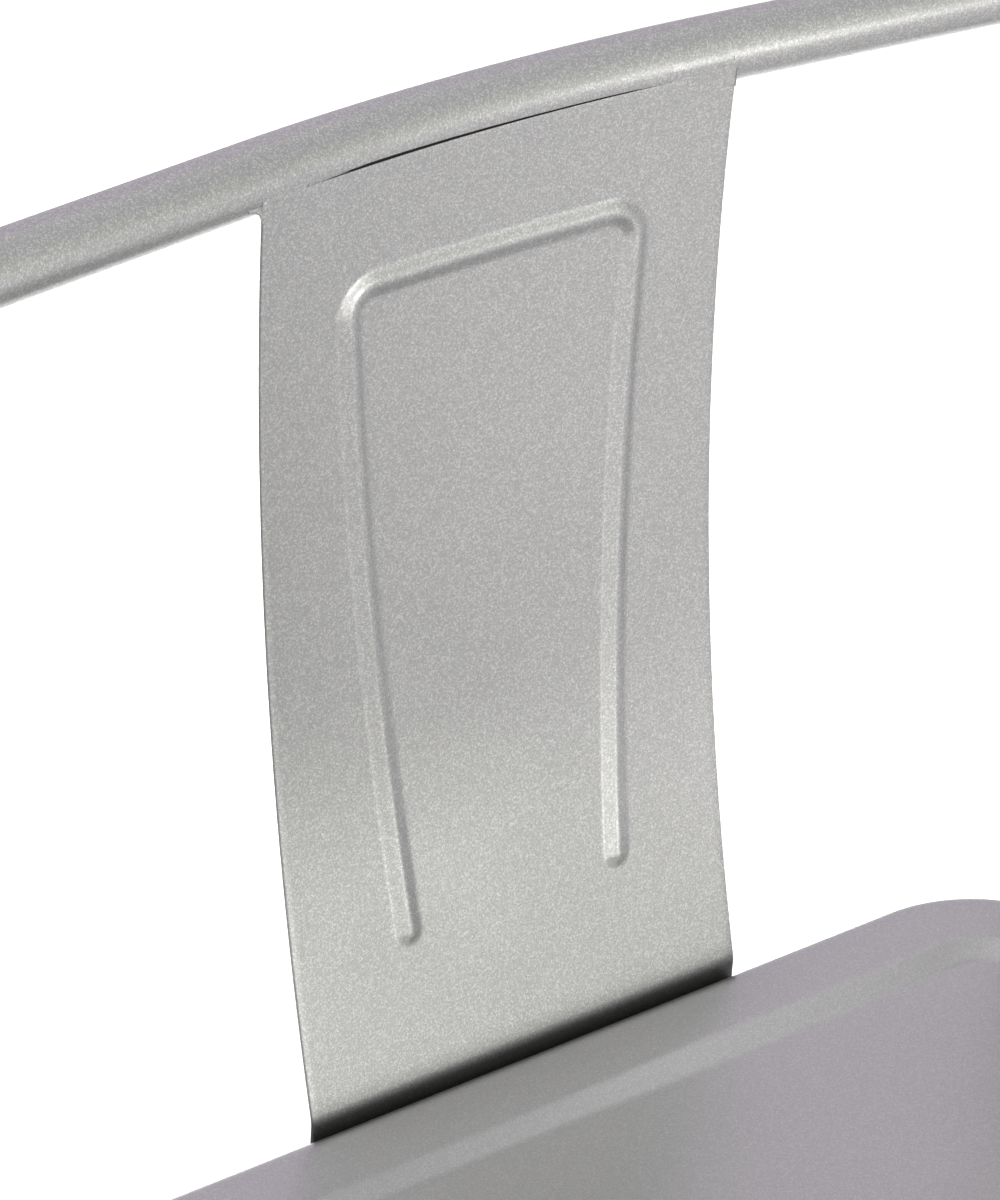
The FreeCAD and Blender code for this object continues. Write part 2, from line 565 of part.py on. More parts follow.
class Splat:
    """Bowed sheet from the rear skirt up to the rail, with a raised rib."""

    SECTIONS = 7
    BEND_STEPS = 4
    RIB_LEG_STEPS = 6
    RIB_CORNER_STEPS = 6

    def __init__(self, rail):
        self.rail = rail
        self.skirt = unit(V(0, 1, END_SLOPE))
        self.upwards = V(0, -self.skirt.z, self.skirt.y)
        bend_z = SEAT_HEIGHT - SPLAT_BEND_BELOW_SEAT
        self.bend = V(0, half_y(bend_z) + SHEET_GAP * math.hypot(1, END_SLOPE), bend_z)
        self.top = rail.middle - V(0, RAIL_RADIUS, 0)
        chord = self.top - self.bend
        self.radius = (chord.Length ** 2 / 4 + SPLAT_BOW ** 2) / (2 * SPLAT_BOW)
        backwards = unit(V(0, chord.z, -chord.y))
        self.centre = self.bend + chord * 0.5 + backwards * (SPLAT_BOW - self.radius)
        self.edge_bow = (rail.middle - rail.bow(SPLAT_TOP_WIDTH / 2)).y

    def rise(self, z):
        """Fraction of the way from the bend up to the rail."""
        return (z - self.bend.z) / (self.top.z - self.bend.z)

    def half_width(self, z):
        """Half the sheet's width: a parabola through foot, waist and top."""
        f = max(self.rise(z), 0)
        width = (SPLAT_FOOT_WIDTH * (1 - f) * (1 - 2 * f) + SPLAT_WAIST_WIDTH * 4 * f * (1 - f)
                 + SPLAT_TOP_WIDTH * f * (2 * f - 1))
        return width / 2

    def back_normal(self, z):
        """Direction out of the back of the sheet's middle line at height z."""
        sine = (z - self.centre.z) / self.radius
        return V(0, math.sqrt(1 - sine ** 2), sine)

    def side_bow(self, x, z):
        """How far the front face comes forward at x, beside its middle line."""
        return self.edge_bow * self.rise(z) ** 2 * (x / self.half_width(z)) ** 2

    def front(self, x, z):
        """Point on the front face, x along it from the middle line at height z."""
        return V(x, 0, 0) + self.centre + self.back_normal(z) * (self.radius - self.side_bow(x, z))

    def section(self, middle, back, half_width, bow):
        """Outline across the sheet: front and back curves joined at the cut edges."""
        curves = []
        for depth in (0, SPLAT_SHEET):
            poles = [middle + V(x, 0, 0) + back * (depth - b)
                     for x, b in ((-half_width, bow), (0, -bow), (half_width, bow))]
            curve = Part.BezierCurve()
            curve.setPoles(poles)
            curves.append((poles, curve.toShape()))
        (front_poles, front), (back_poles, rear) = curves
        return Part.Wire([front, line(front_poles[2], back_poles[2]), rear,
                          line(back_poles[0], front_poles[0])])

    def bowed_section(self, z):
        half_width = self.half_width(z)
        return self.section(self.front(0, z), self.back_normal(z), half_width, self.side_bow(half_width, z))

    def bend_centre(self):
        """Centre of the bend that touches both the skirt's plane and the bowed part."""
        radius = SPLAT_BEND_RADIUS + SPLAT_SHEET
        beside = self.bend + self.skirt * radius - self.centre
        climb = beside.dot(self.upwards)
        rise = -climb - math.sqrt(climb ** 2 - beside.dot(beside) + (self.radius + radius) ** 2)
        return self.centre + beside + self.upwards * rise

    def foot_sections(self, centre, end_back):
        """Flat foot on the skirt, then a bend that turns into the bowed part."""
        radius = SPLAT_BEND_RADIUS + SPLAT_SHEET
        turn = self.skirt.getAngle(end_back)
        half_width = SPLAT_FOOT_WIDTH / 2
        low = self.bend - self.upwards * (SPLAT_FOOT_BELOW_SEAT - SPLAT_BEND_BELOW_SEAT)
        sections = [self.section(low, self.skirt, half_width, 0)]
        for step in range(self.BEND_STEPS):
            angle = turn * step / self.BEND_STEPS
            back = self.skirt * math.cos(angle) - self.upwards * math.sin(angle)
            sections.append(self.section(centre - back * radius, back, half_width, 0))
        return sections

    def sheet(self):
        """Flat foot, bend and bowed part in one sheet, before the rib is pressed."""
        bend_centre = self.bend_centre()
        end_back = unit(bend_centre - self.centre)
        end_z = self.centre.z + end_back.z * self.radius
        step = (self.top.z - end_z) / (self.SECTIONS - 1)
        bowed = [self.bowed_section(end_z + step * i) for i in range(self.SECTIONS)]
        upper = Part.makeLoft(bowed, True, False)
        lower = Part.makeLoft(self.foot_sections(bend_centre, end_back) + [bowed[0]], True, True)
        return upper.fuse(lower)

    def rib_stations(self):
        """(place, direction, end distance) along the rib, in the plane seen from the front."""
        top = SEAT_HEIGHT + RIB_TOP_ABOVE_SEAT
        foot = SEAT_HEIGHT + RIB_FOOT_ABOVE_SEAT
        corners = [V(-RIB_FOOT_SPAN / 2, 0, foot), V(-RIB_TOP_SPAN / 2, 0, top),
                   V(RIB_TOP_SPAN / 2, 0, top), V(RIB_FOOT_SPAN / 2, 0, foot)]
        path = bent_path(corners, [RIB_CORNER_RADIUS, RIB_CORNER_RADIUS])
        stations = []
        for edge in path:
            steps = self.RIB_LEG_STEPS if edge.Curve.TypeId == "Part::GeomLine" else self.RIB_CORNER_STEPS
            for i in range(steps):
                at = edge.FirstParameter + (edge.LastParameter - edge.FirstParameter) * i / steps
                stations.append((edge.valueAt(at), edge.tangentAt(at), 0))
        last = path[-1]
        end = (last.valueAt(last.LastParameter), last.tangentAt(last.LastParameter), 0)
        stations.append(end)
        reaches = [RIB_CROWN * share for share in RIB_END_CROWN_REACHES] + [RIB_WIDTH * RIB_END_FLANK_REACH]
        start = stations[0]
        before = [(start[0] - start[1] * r, start[1], r) for r in reversed(reaches)]
        after = [(end[0] + end[1] * r, end[1], r) for r in reaches]
        return before + stations + after

    def rib_section(self, station, depth, narrowing):
        """Trapezium across the rib, depth below the pressed face and narrower by narrowing."""
        place, along, reach = station
        flank = (RIB_WIDTH - RIB_CROWN) / 2
        crown = math.sqrt(max((RIB_CROWN / 2) ** 2 - reach ** 2, LEAST_HALF_WIDTH ** 2))
        height = RIB_HEIGHT * min(1, (RIB_WIDTH / 2 - reach) / flank)
        base = math.sqrt((RIB_WIDTH / 2) ** 2 - reach ** 2)
        root = base + (base - crown) / height * SPLAT_SHEET / 2
        point = self.front(place.x, place.z)
        ahead = self.front(place.x + along.x, place.z + along.z)
        back = self.front(place.x - along.x, place.z - along.z)
        tangent = unit(ahead - back)
        aside = self.front(place.x - along.z, place.z + along.x) - self.front(
            place.x + along.z, place.z - along.x)
        normal = unit(tangent.cross(unit(aside)))
        if normal.y > 0:
            normal = normal * -1
        across = tangent.cross(normal)
        shape = [(-root, -SPLAT_SHEET / 2), (-crown, height), (crown, height), (root, -SPLAT_SHEET / 2)]
        corners = []
        for u, h in shape:
            inner = math.copysign(max(abs(u) - narrowing, LEAST_GROOVE), u)
            corners.append(point + across * inner + normal * (h - depth))
        return Part.makePolygon(corners + corners[:1])

    def rib(self, depth, narrowing):
        """Solid under the rib's raised face, lofted station by station."""
        sections = [self.rib_section(s, depth, narrowing) for s in self.rib_stations()]
        return Part.makeLoft(sections, True, True)

    def solid(self, holes):
        """The finished sheet: rib raised in front, groove behind, cut to the rail and the screws."""
        flank_angle = math.atan2(RIB_HEIGHT, (RIB_WIDTH - RIB_CROWN) / 2)
        narrowing = SPLAT_SHEET * math.tan(flank_angle / 2)
        seam = round_bar(self.rail.path, RAIL_RADIUS + SEAM_GAP)
        pressed = self.sheet().fuse(self.rib(0, 0)).cut(self.rib(SPLAT_SHEET, narrowing))
        return pressed.cut([seam] + holes)

    def weld(self, side, length, around_tube, splat):
        """Weld that fills the seam and the corner behind it at one end of the splat's top."""
        outer = SPLAT_TOP_WIDTH / 2 - WELD_END_CLEARANCE
        offset = V(0, WELD_RADIUS - RAIL_RADIUS - WELD_PROUD, -WELD_DROP)
        reach = [self.rail.bow(side * x) + offset for x in (outer, outer - length / 2, outer - length)]
        return round_bar([arc(*reach)], WELD_RADIUS).cut([around_tube, splat])


def end_plug(rail):
    """Plastic plug in the open end of the right tail."""
    head = Part.makeCylinder(RAIL_RADIUS, PLUG_HEAD, rail.end, rail.tail)
    stem_radius = RAIL_RADIUS - RAIL_WALL - PLUG_CLEARANCE
    return head.fuse(Part.makeCylinder(stem_radius, PLUG_STEM, rail.end - rail.tail * PLUG_STEM, rail.tail))


def build():
    """Every piece of the stool by name."""
    rail = Rail()
    splat = Splat(rail)
    back_fixing = BackFixing(rail)
    splat_fixing = SplatFixing()
    back_holes = back_fixing.holes()
    splat_holes = splat_fixing.holes()
    tube = round_bar(rail.path, RAIL_RADIUS)
    around_tube = round_bar(rail.path, RAIL_RADIUS + SHEET_GAP)
    back_splat = splat.solid(splat_holes)
    leg = front_left_leg()
    rear_leg = mirrored_y(leg).cut(back_holes)
    foot = front_left_foot()
    rear_foot = mirrored_y(foot)
    front_bar = channel_bar(FRONT_WALL)
    left_bar = channel_bar(LEFT_WALL)
    brace_top = SEAT_HEIGHT - BRACE_BELOW_SEAT
    plug = end_plug(rail)
    return {
        "seat_pan": seat_pan(back_holes + splat_holes),
        "back_rail": tube.cut([round_bar(rail.path, RAIL_RADIUS - RAIL_WALL)] + back_holes),
        "back_splat": back_splat,
        "splat_weld_left": splat.weld(-1, WELD_LEFT_LENGTH, around_tube, back_splat),
        "splat_weld_right": splat.weld(1, WELD_RIGHT_LENGTH, around_tube, back_splat),
        "front_left_leg": leg,
        "front_right_leg": mirrored_x(leg),
        "rear_left_leg": rear_leg,
        "rear_right_leg": mirrored_x(rear_leg),
        "front_left_foot": foot,
        "front_right_foot": mirrored_x(foot),
        "rear_left_foot": rear_foot,
        "rear_right_foot": mirrored_x(rear_foot),
        "front_footrest": front_bar,
        "rear_stretcher": mirrored_y(front_bar),
        "left_stretcher": left_bar,
        "right_stretcher": mirrored_x(left_bar),
        "cross_brace_lower": brace(brace_top, 1),
        "cross_brace_upper": brace(brace_top + BRACE_SHEET, -1),
        "cross_brace_rivet": brace_rivet(brace_top + BRACE_SHEET),
        "back_bolts": Part.makeCompound(back_fixing.bolts()),
        "back_nuts": Part.makeCompound(back_fixing.nuts()),
        "back_spacers": Part.makeCompound(back_fixing.spacers(around_tube)),
        "rail_end_plugs": Part.makeCompound([plug, mirrored_x(plug)]),
        "splat_screws": Part.makeCompound(splat_fixing.screws()),
        "splat_nuts": Part.makeCompound(splat_fixing.nuts()),
    }


os.makedirs("parts", exist_ok=True)
for name, shape in build().items():
    shape.exportStep(f"parts/{name}.step")
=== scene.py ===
"""Dressed model of a sheet-steel bar stool with a bent tube back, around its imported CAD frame.

Metres throughout, +Z up, the sitter faces -Y. Each piece's place is in its mesh.
"""

import json
import logging
import math
from dataclasses import dataclass
from enum import Enum
from typing import Callable, Optional, Sequence, Union

import bpy
import numpy as np
from mathutils import Matrix, Vector


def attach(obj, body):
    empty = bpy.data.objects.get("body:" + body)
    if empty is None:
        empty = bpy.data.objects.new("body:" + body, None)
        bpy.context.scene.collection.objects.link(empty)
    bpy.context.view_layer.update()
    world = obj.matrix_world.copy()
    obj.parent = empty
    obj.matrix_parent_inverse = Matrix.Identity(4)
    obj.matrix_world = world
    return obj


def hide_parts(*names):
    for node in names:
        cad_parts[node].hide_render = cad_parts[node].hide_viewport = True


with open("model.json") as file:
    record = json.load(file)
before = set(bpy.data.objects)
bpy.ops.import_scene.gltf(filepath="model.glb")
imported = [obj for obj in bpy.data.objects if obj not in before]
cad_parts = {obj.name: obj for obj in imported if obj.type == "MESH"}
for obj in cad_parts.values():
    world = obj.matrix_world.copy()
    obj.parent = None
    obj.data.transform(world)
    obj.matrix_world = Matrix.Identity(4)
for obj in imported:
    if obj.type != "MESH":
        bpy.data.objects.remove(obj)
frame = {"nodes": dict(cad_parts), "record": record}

LOG = logging.getLogger("bar_stool")
Array = np.ndarray
Colour = tuple[float, float, float]
Stop = tuple[float, Colour]
MM = 0.001
BODY = "root"
SHADE = "shade"
UPRIGHT = np.array([0.0, 0.0, 1.0])
FRONT_OF_TUBE = 1.5 * math.pi
PATTERN_TURN = (0.61, 0.83, 0.37)


class Slot(Enum):
    """Material slots of the record."""

    PAINT = "silver_paint"
    RUBBER = "rubber"
    ZINC = "zinc"
    PLUG = "plug_plastic"


class Side(Enum):
    """Left and right as seen from the front."""

    LEFT = -1
    RIGHT = 1


class End(Enum):
    """Front and rear of the stool."""

    FRONT = -1
    REAR = 1


class Wall(Enum):
    """Sides of the stool, each with its outward direction."""

    FRONT = (0, -1)
    REAR = (0, 1)
    LEFT = (-1, 0)
    RIGHT = (1, 0)


# Arrays and meshes


def eased_ramp(share: Array, ease: float) -> Array:
    """A ramp from 0 to 1 whose two ends are parabolas that meet the flats without a kink.

    Args:
        share: How far along the ramp, clipped to 0..1.
        ease: Share of the ramp that each rounded end takes.

    Returns:
        The height on the ramp.
    """
    s = np.clip(share, 0.0, 1.0)
    foot = s ** 2 / (2 * ease * (1 - ease))
    middle = (s - ease / 2) / (1 - ease)
    head = 1 - (1 - s) ** 2 / (2 * ease * (1 - ease))
    return np.where(s < ease, foot, np.where(s > 1 - ease, head, middle))


def spread(*runs: tuple[float, float, int]) -> Array:
    """Even steps along several runs, one after another, each run given as start, end and steps.

    Args:
        runs: The runs; one starts where the one before ends.

    Returns:
        Every value once, in order.
    """
    parts = [np.linspace(a, b, steps, endpoint=False) for a, b, steps in runs]
    return np.concatenate(parts + [np.array([runs[-1][1]])])


def stepped(stops: Sequence[float], steps: Sequence[int]) -> Array:
    """Even steps from stop to stop.

    Args:
        stops: Where the runs start and end, one more than there are runs.
        steps: Steps along each run.

    Returns:
        Every value once, in order.
    """
    return spread(*zip(stops, stops[1:], steps))


def grid_faces(rows: int, columns: int, ring_rows: bool = False, ring_columns: bool = False) -> Array:
    """Quads that join each point of a grid with its neighbours in the next row and column.

    Args:
        rows: Number of rows.
        columns: Number of columns.
        ring_rows: The last row joins the first.
        ring_columns: The last column joins the first.

    Returns:
        Vertex numbers, four to a face.
    """
    i = np.arange(rows if ring_rows else rows - 1)[:, None]
    j = np.arange(columns if ring_columns else columns - 1)[None, :]
    after_i, after_j = (i + 1) % rows, (j + 1) % columns
    corners = [i * columns + j, i * columns + after_j, after_i * columns + after_j, after_i * columns + j]
    return np.stack(np.broadcast_arrays(*corners), axis=-1).reshape(-1, 4)


def loop_caps(rows: int, half: int) -> Array:
    """Quads that close both ends of a sheet whose rows are loops: front points, then back points reversed.

    Args:
        rows: Number of loops.
        half: Points on the front; the back has as many.

    Returns:
        Vertex numbers, four to a face.
    """
    j = np.arange(half - 1)
    strip = np.stack([j, 2 * half - 1 - j, 2 * half - 2 - j, j + 1], axis=-1)
    return np.concatenate([strip, strip[:, ::-1] + (rows - 1) * 2 * half])


def outward(points: Array, faces: Array) -> Array:
    """The faces turned, if need be, so that a closed mesh has a positive volume.

    Args:
        points: Vertices.
        faces: Vertex numbers.

    Returns:
        The faces, all pointing out.
    """
    a, b, c, d = (points[faces[:, k]] for k in range(4))
    volume = np.einsum("ij,ij->i", a, np.cross(b, c)) + np.einsum("ij,ij->i", a, np.cross(c, d))
    return faces if volume.sum() > 0 else faces[:, ::-1]


def closed_bar(loops: Array) -> Array:
    """Faces of a bar whose cross sections are loops of front points, then as many back points reversed.

    Args:
        loops: Points shaped (rows, columns, 3).

    Returns:
        Vertex numbers, four to a face, with both ends closed.
    """
    rows, columns = loops.shape[:2]
    return np.concatenate([grid_faces(rows, columns, ring_columns=True), loop_caps(rows, columns // 2)])


def joined(bars: Sequence[Array]) -> tuple[Array, Array]:
    """Several closed bars as one mesh.

    Args:
        bars: Loops of each bar, shaped (rows, columns, 3).

    Returns:
        Points and faces, every bar turned outwards.
    """
    points, faces, count = [], [], 0
    for loops in bars:
        flat = loops.reshape(-1, 3)
        points.append(flat)
        faces.append(outward(flat, closed_bar(loops)) + count)
        count += len(flat)
    return np.concatenate(points), np.concatenate(faces)


def make_piece(name: str, points: Array, faces: Array, nodes: Sequence[str],
               shade: Optional[Array] = None) -> bpy.types.Object:
    """A smooth mesh piece that rides on the stool and stands for CAD nodes.

    Args:
        name: Name of the piece.
        points: Vertices in any grid shape, in metres.
        faces: Vertex numbers, four to a face.
        nodes: CAD nodes that the piece replaces.
        shade: Painted light or shade at each point: how much lighter the paint is there, as a share; below 0
            it is darker.

    Returns:
        The new object.
    """
    flat = np.ascontiguousarray(points.reshape(-1, 3), dtype=np.float32)
    quads = np.ascontiguousarray(outward(flat.astype(float), faces), dtype=np.int32)
    mesh = bpy.data.meshes.new(name)
    mesh.vertices.add(len(flat))
    mesh.vertices.foreach_set("co", flat.ravel())
    mesh.loops.add(quads.size)
    mesh.loops.foreach_set("vertex_index", quads.ravel())
    mesh.polygons.add(len(quads))
    mesh.polygons.foreach_set("loop_start", np.arange(0, quads.size, 4, dtype=np.int32))
    mesh.polygons.foreach_set("use_smooth", np.ones(len(quads), dtype=bool))
    if shade is not None:
        layer = mesh.attributes.new(SHADE, "FLOAT", "POINT")
        layer.data.foreach_set("value", np.ascontiguousarray(shade, dtype=np.float32).ravel())
    mesh.update(calc_edges=True)
    mesh.validate()
    piece = bpy.data.objects.new(name, mesh)
    bpy.context.scene.collection.objects.link(piece)
    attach(piece, BODY)
    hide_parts(*nodes)
    LOG.info("%s: %d vertices, %d faces", name, len(flat), len(quads))
    return piece


# Finishes


@dataclass(frozen=True)
class Lumps:
    """A noise: size and detail of its lumps, the part of its range that is used, and any bump from it."""

    size: float
    detail: float
    span: tuple[float, float] = (0.3, 0.7)
    bump_strength: float = 0.0
    bump_depth: float = 0.0


def set_stops(ramp: bpy.types.ColorRamp, stops: Sequence[Stop]) -> None:
    """Give a colour ramp its stops.

    Args:
        ramp: A new ramp, with its two stops.
        stops: Positions and colours, in order.
    """
    marks = ramp.elements
    marks.remove(marks[-1])
    marks[0].position, marks[0].color = stops[0][0], (*stops[0][1], 1.0)
    for position, colour in stops[1:]:
        marks.new(position).color = (*colour, 1.0)


class Nodes:
    """A material's node tree, with short calls to add and join nodes."""

    def __init__(self, name: str) -> None:
        """Start a material whose patterns lie on the piece's own coordinates, turned off the axes.

        Args:
            name: Name of the material.
        """
        self.material = bpy.data.materials.new(name)
        self.material.use_nodes = True
        self.tree = self.material.node_tree
        self.shader = self.tree.nodes["Principled BSDF"]
        turned = self.add("ShaderNodeMapping", Rotation=PATTERN_TURN)
        self.join(self.add("ShaderNodeTexCoord").outputs["Object"], turned.inputs["Vector"])
        self.place = turned.outputs["Vector"]

    def add(self, kind: str, **inputs: object) -> bpy.types.Node:
        """A new node with some inputs set.

        Args:
            kind: Blender's name for the kind of node.
            inputs: Values by the input's name, with spaces written as underscores.

        Returns:
            The node.
        """
        node = self.tree.nodes.new(kind)
        for key, value in inputs.items():
            node.inputs[key.replace("_", " ")].default_value = value
        return node

    def join(self, output: bpy.types.NodeSocket, target: bpy.types.NodeSocket) -> None:
        """Link an output to an input."""
        self.tree.links.new(output, target)

    def set(self, **inputs: float) -> None:
        """Set inputs of the shader that are the same all over."""
        for key, value in inputs.items():
            self.shader.inputs[key].default_value = value

    def noise(self, lumps: Lumps) -> bpy.types.NodeSocket:
        """Noise on the piece's own coordinates.

        Args:
            lumps: Its size and detail.

        Returns:
            The noise's value.
        """
        node = self.add("ShaderNodeTexNoise", Scale=1 / lumps.size, Detail=lumps.detail)
        self.join(self.place, node.inputs["Vector"])
        return node.outputs["Fac"]

    def cells(self, size: float) -> bpy.types.NodeSocket:
        """An even random value for each of a crowd of cells.

        Args:
            size: About how far across a cell is.

        Returns:
            The cell's value, from 0 to 1.
        """
        node = self.add("ShaderNodeTexVoronoi", Scale=1 / size)
        self.join(self.place, node.inputs["Vector"])
        split = self.add("ShaderNodeSeparateColor")
        self.join(node.outputs["Color"], split.inputs["Color"])
        return split.outputs["Red"]

    def ranged(self, value: bpy.types.NodeSocket, span: tuple[float, float],
               to: tuple[float, float]) -> bpy.types.NodeSocket:
        """A value carried from one range to another in a straight line, and kept inside it.

        Args:
            value: The value.
            span: Its range.
            to: The new range.

        Returns:
            The new value.
        """
        node = self.add("ShaderNodeMapRange", From_Min=span[0], From_Max=span[1], To_Min=to[0], To_Max=to[1])
        self.join(value, node.inputs["Value"])
        return node.outputs["Result"]

    def ramp(self, value: bpy.types.NodeSocket, *stops: Stop) -> bpy.types.NodeSocket:
        """Colour that follows a value from stop to stop.

        Args:
            value: The value.
            stops: Positions and colours, in order.

        Returns:
            The colour.
        """
        node = self.add("ShaderNodeValToRGB")
        set_stops(node.color_ramp, stops)
        self.join(value, node.inputs["Fac"])
        return node.outputs["Color"]

    def mottle(self, value: bpy.types.NodeSocket, lumps: Lumps, dark: Colour, light: Colour) -> None:
        """Colour the shader from dark to light over the part of a noise that is used.

        Args:
            value: The noise's value.
            lumps: The noise.
            dark: Colour at the low end.
            light: Colour at the high end.
        """
        low, high = lumps.span
        self.join(self.ramp(value, (low, dark), (high, light)), self.shader.inputs["Base Color"])

    def bump(self, height: bpy.types.NodeSocket, lumps: Lumps) -> None:
        """Bump on the shader from a noise.

        Args:
            height: The noise's value.
            lumps: The noise, with its bump.
        """
        node = self.add("ShaderNodeBump", Strength=lumps.bump_strength, Distance=lumps.bump_depth)
        self.join(height, node.inputs["Height"])
        self.join(node.outputs["Normal"], self.shader.inputs["Normal"])


@dataclass(frozen=True)
class PowderCoat:
    """Silver powder coat: metal flakes in a satin binder, with a soft orange peel. The painted light or shade
    stored on a piece makes it lighter or darker there."""

    name: str = "silver_powder_coat"
    dark: Colour = (0.47, 0.47, 0.47)
    middle: Colour = (0.57, 0.57, 0.57)
    light: Colour = (0.76, 0.76, 0.75)
    light_share: float = 0.35
    metallic: float = 0.9
    roughness: float = 0.34
    roughness_swing: float = 0.03
    flake: float = 0.42 * MM
    peel: Lumps = Lumps(1.1 * MM, 1.0, bump_strength=0.2, bump_depth=0.05 * MM)
    drift: Lumps = Lumps(60 * MM, 2.0)

    def material(self) -> bpy.types.Material:
        """The node material: flakes vary the colour, a fine peel the normal, a slow drift the roughness. The
        colour is multiplied by 1 plus the painted light or shade.

        Returns:
            The material.
        """
        nodes = Nodes(self.name)
        flakes = nodes.cells(self.flake)
        colour = nodes.ramp(flakes, (0.0, self.dark), (1 - self.light_share, self.middle), (1.0, self.light))
        shade = nodes.add("ShaderNodeAttribute")
        shade.attribute_name = SHADE
        shaded = nodes.add("ShaderNodeVectorMath")
        shaded.operation = "SCALE"
        nodes.join(colour, shaded.inputs["Vector"])
        nodes.join(nodes.ranged(shade.outputs["Fac"], (-1.0, 1.0), (0.0, 2.0)), shaded.inputs["Scale"])
        nodes.join(shaded.outputs["Vector"], nodes.shader.inputs["Base Color"])
        swing = (self.roughness - self.roughness_swing, self.roughness + self.roughness_swing)
        drift = nodes.ranged(nodes.noise(self.drift), self.drift.span, swing)
        nodes.join(drift, nodes.shader.inputs["Roughness"])
        nodes.set(Metallic=self.metallic)
        nodes.bump(nodes.noise(self.peel), self.peel)
        return nodes.material


# The seat's coat is the same paint with fainter flakes.
SEAT_COAT = PowderCoat("calm_powder_coat", (0.52, 0.52, 0.52), (0.57, 0.57, 0.57), (0.66, 0.66, 0.655))


@dataclass(frozen=True)
class MouldedRubber:
    """Matt black rubber with a fine moulded grain."""

    dark: Colour = (0.018, 0.018, 0.018)
    light: Colour = (0.035, 0.034, 0.033)
    roughness: float = 0.72
    grain: Lumps = Lumps(0.8 * MM, 2.0, bump_strength=0.3, bump_depth=0.1 * MM)
    bloom: Lumps = Lumps(14 * MM, 3.0, span=(0.3, 0.75))

    def material(self) -> bpy.types.Material:
        """The node material: a dusty bloom in the colour, grain in the bump.

        Returns:
            The material.
        """
        nodes = Nodes("black_rubber")
        nodes.mottle(nodes.noise(self.bloom), self.bloom, self.dark, self.light)
        nodes.set(Roughness=self.roughness)
        nodes.bump(nodes.noise(self.grain), self.grain)
        return nodes.material


@dataclass(frozen=True)
class ZincPlate:
    """Bright zinc plating with a faint mottle."""

    dark: Colour = (0.46, 0.46, 0.45)
    light: Colour = (0.66, 0.66, 0.63)
    roughness: tuple[float, float] = (0.24, 0.38)
    metallic: float = 1.0
    stain: Lumps = Lumps(3 * MM, 3.0)

    def material(self) -> bpy.types.Material:
        """The node material: mottle in the colour and the roughness.

        Returns:
            The material.
        """
        nodes = Nodes("zinc_plate")
        stain = nodes.noise(self.stain)
        nodes.mottle(stain, self.stain, self.dark, self.light)
        nodes.join(nodes.ranged(stain, self.stain.span, self.roughness), nodes.shader.inputs["Roughness"])
        nodes.set(Metallic=self.metallic)
        return nodes.material


@dataclass(frozen=True)
class PlugPlastic:
    """Black plastic with a fine spark-eroded texture."""

    dark: Colour = (0.02, 0.02, 0.021)
    light: Colour = (0.032, 0.032, 0.033)
    roughness: float = 0.5
    grain: Lumps = Lumps(0.5 * MM, 2.0, bump_strength=0.2, bump_depth=0.05 * MM)

    def material(self) -> bpy.types.Material:
        """The node material: grain in the colour and the bump.

        Returns:
            The material.
        """
        nodes = Nodes("plug_plastic")
        grain = nodes.noise(self.grain)
        nodes.mottle(grain, self.grain, self.dark, self.light)
        nodes.set(Roughness=self.roughness)
        nodes.bump(grain, self.grain)
        return nodes.material


# Sub-assemblies


class SubAssembly:
    """What the stool's sub-assemblies share: how a piece is dressed."""

    def dress(self, piece: bpy.types.Object, finish: bpy.types.Material) -> None:
        """Give a piece its finish."""
        piece.data.materials.append(finish)


@dataclass(frozen=True)
class Shell:
    """Tapering shell that the seat's skirt and the legs follow: a rounded rectangle that grows downwards."""

    height: float = 762 * MM
    width: float = 413 * MM
    depth: float = 380 * MM
    corner: float = 54 * MM
    spread_x: float = 40 * MM
    spread_y: float = 50 * MM
    foot_corner: float = 14 * MM

    def half_x(self, z: Array) -> Array:
        """Half the width at height z: the seat's half plus a straight spread."""
        return self.width / 2 + self.spread_x * (self.height - z) / self.height

    def half_y(self, z: Array) -> Array:
        """Half the depth at height z: the seat's half plus a straight spread."""
        return self.depth / 2 + self.spread_y * (self.height - z) / self.height

    def radius(self, z: Array) -> Array:
        """Corner radius at height z, straight from the seat's to the foot's."""
        return self.corner + (self.foot_corner - self.corner) * (self.height - z) / self.height


def rounded_rings(x_span: tuple[Array, Array], y_span: tuple[Array, Array], radii: Sequence[Array], z: Array,
                  arc_steps: int, line_steps: int) -> Array:
    """Rounded rectangles, one to a row: each corner is a quarter circle and each side a straight run.

    Args:
        x_span: Lowest and highest x of each ring.
        y_span: Lowest and highest y of each ring.
        radii: Radii of the corners, from the one at high x and high y on, anticlockwise.
        z: Height of each ring.
        arc_steps: Steps round a corner.
        line_steps: Steps along a side.

    Returns:
        Points shaped (rings, columns, 3).
    """
    turn = np.linspace(0, math.pi / 2, arc_steps + 1)
    share = np.linspace(0, 1, line_steps + 1)[1:-1]
    arcs, columns = [], []
    for quarter, (at_x, at_y) in enumerate([(1, 1), (0, 1), (0, 0), (1, 0)]):
        angle, radius = turn + quarter * math.pi / 2, radii[quarter]
        x = (x_span[at_x] - (2 * at_x - 1) * radius)[:, None] + radius[:, None] * np.cos(angle)
        y = (y_span[at_y] - (2 * at_y - 1) * radius)[:, None] + radius[:, None] * np.sin(angle)
        arcs.append(np.stack([x, y], axis=-1))
    for arc, following in zip(arcs, arcs[1:] + arcs[:1]):
        run = arc[:, -1:, :] + (following[:, :1, :] - arc[:, -1:, :]) * share[None, :, None]
        columns.extend([arc, run])
    plan = np.concatenate(columns, axis=1)
    heights = np.broadcast_to(z[:, None, None], (*plan.shape[:2], 1))
    return np.concatenate([plan, heights], axis=-1)


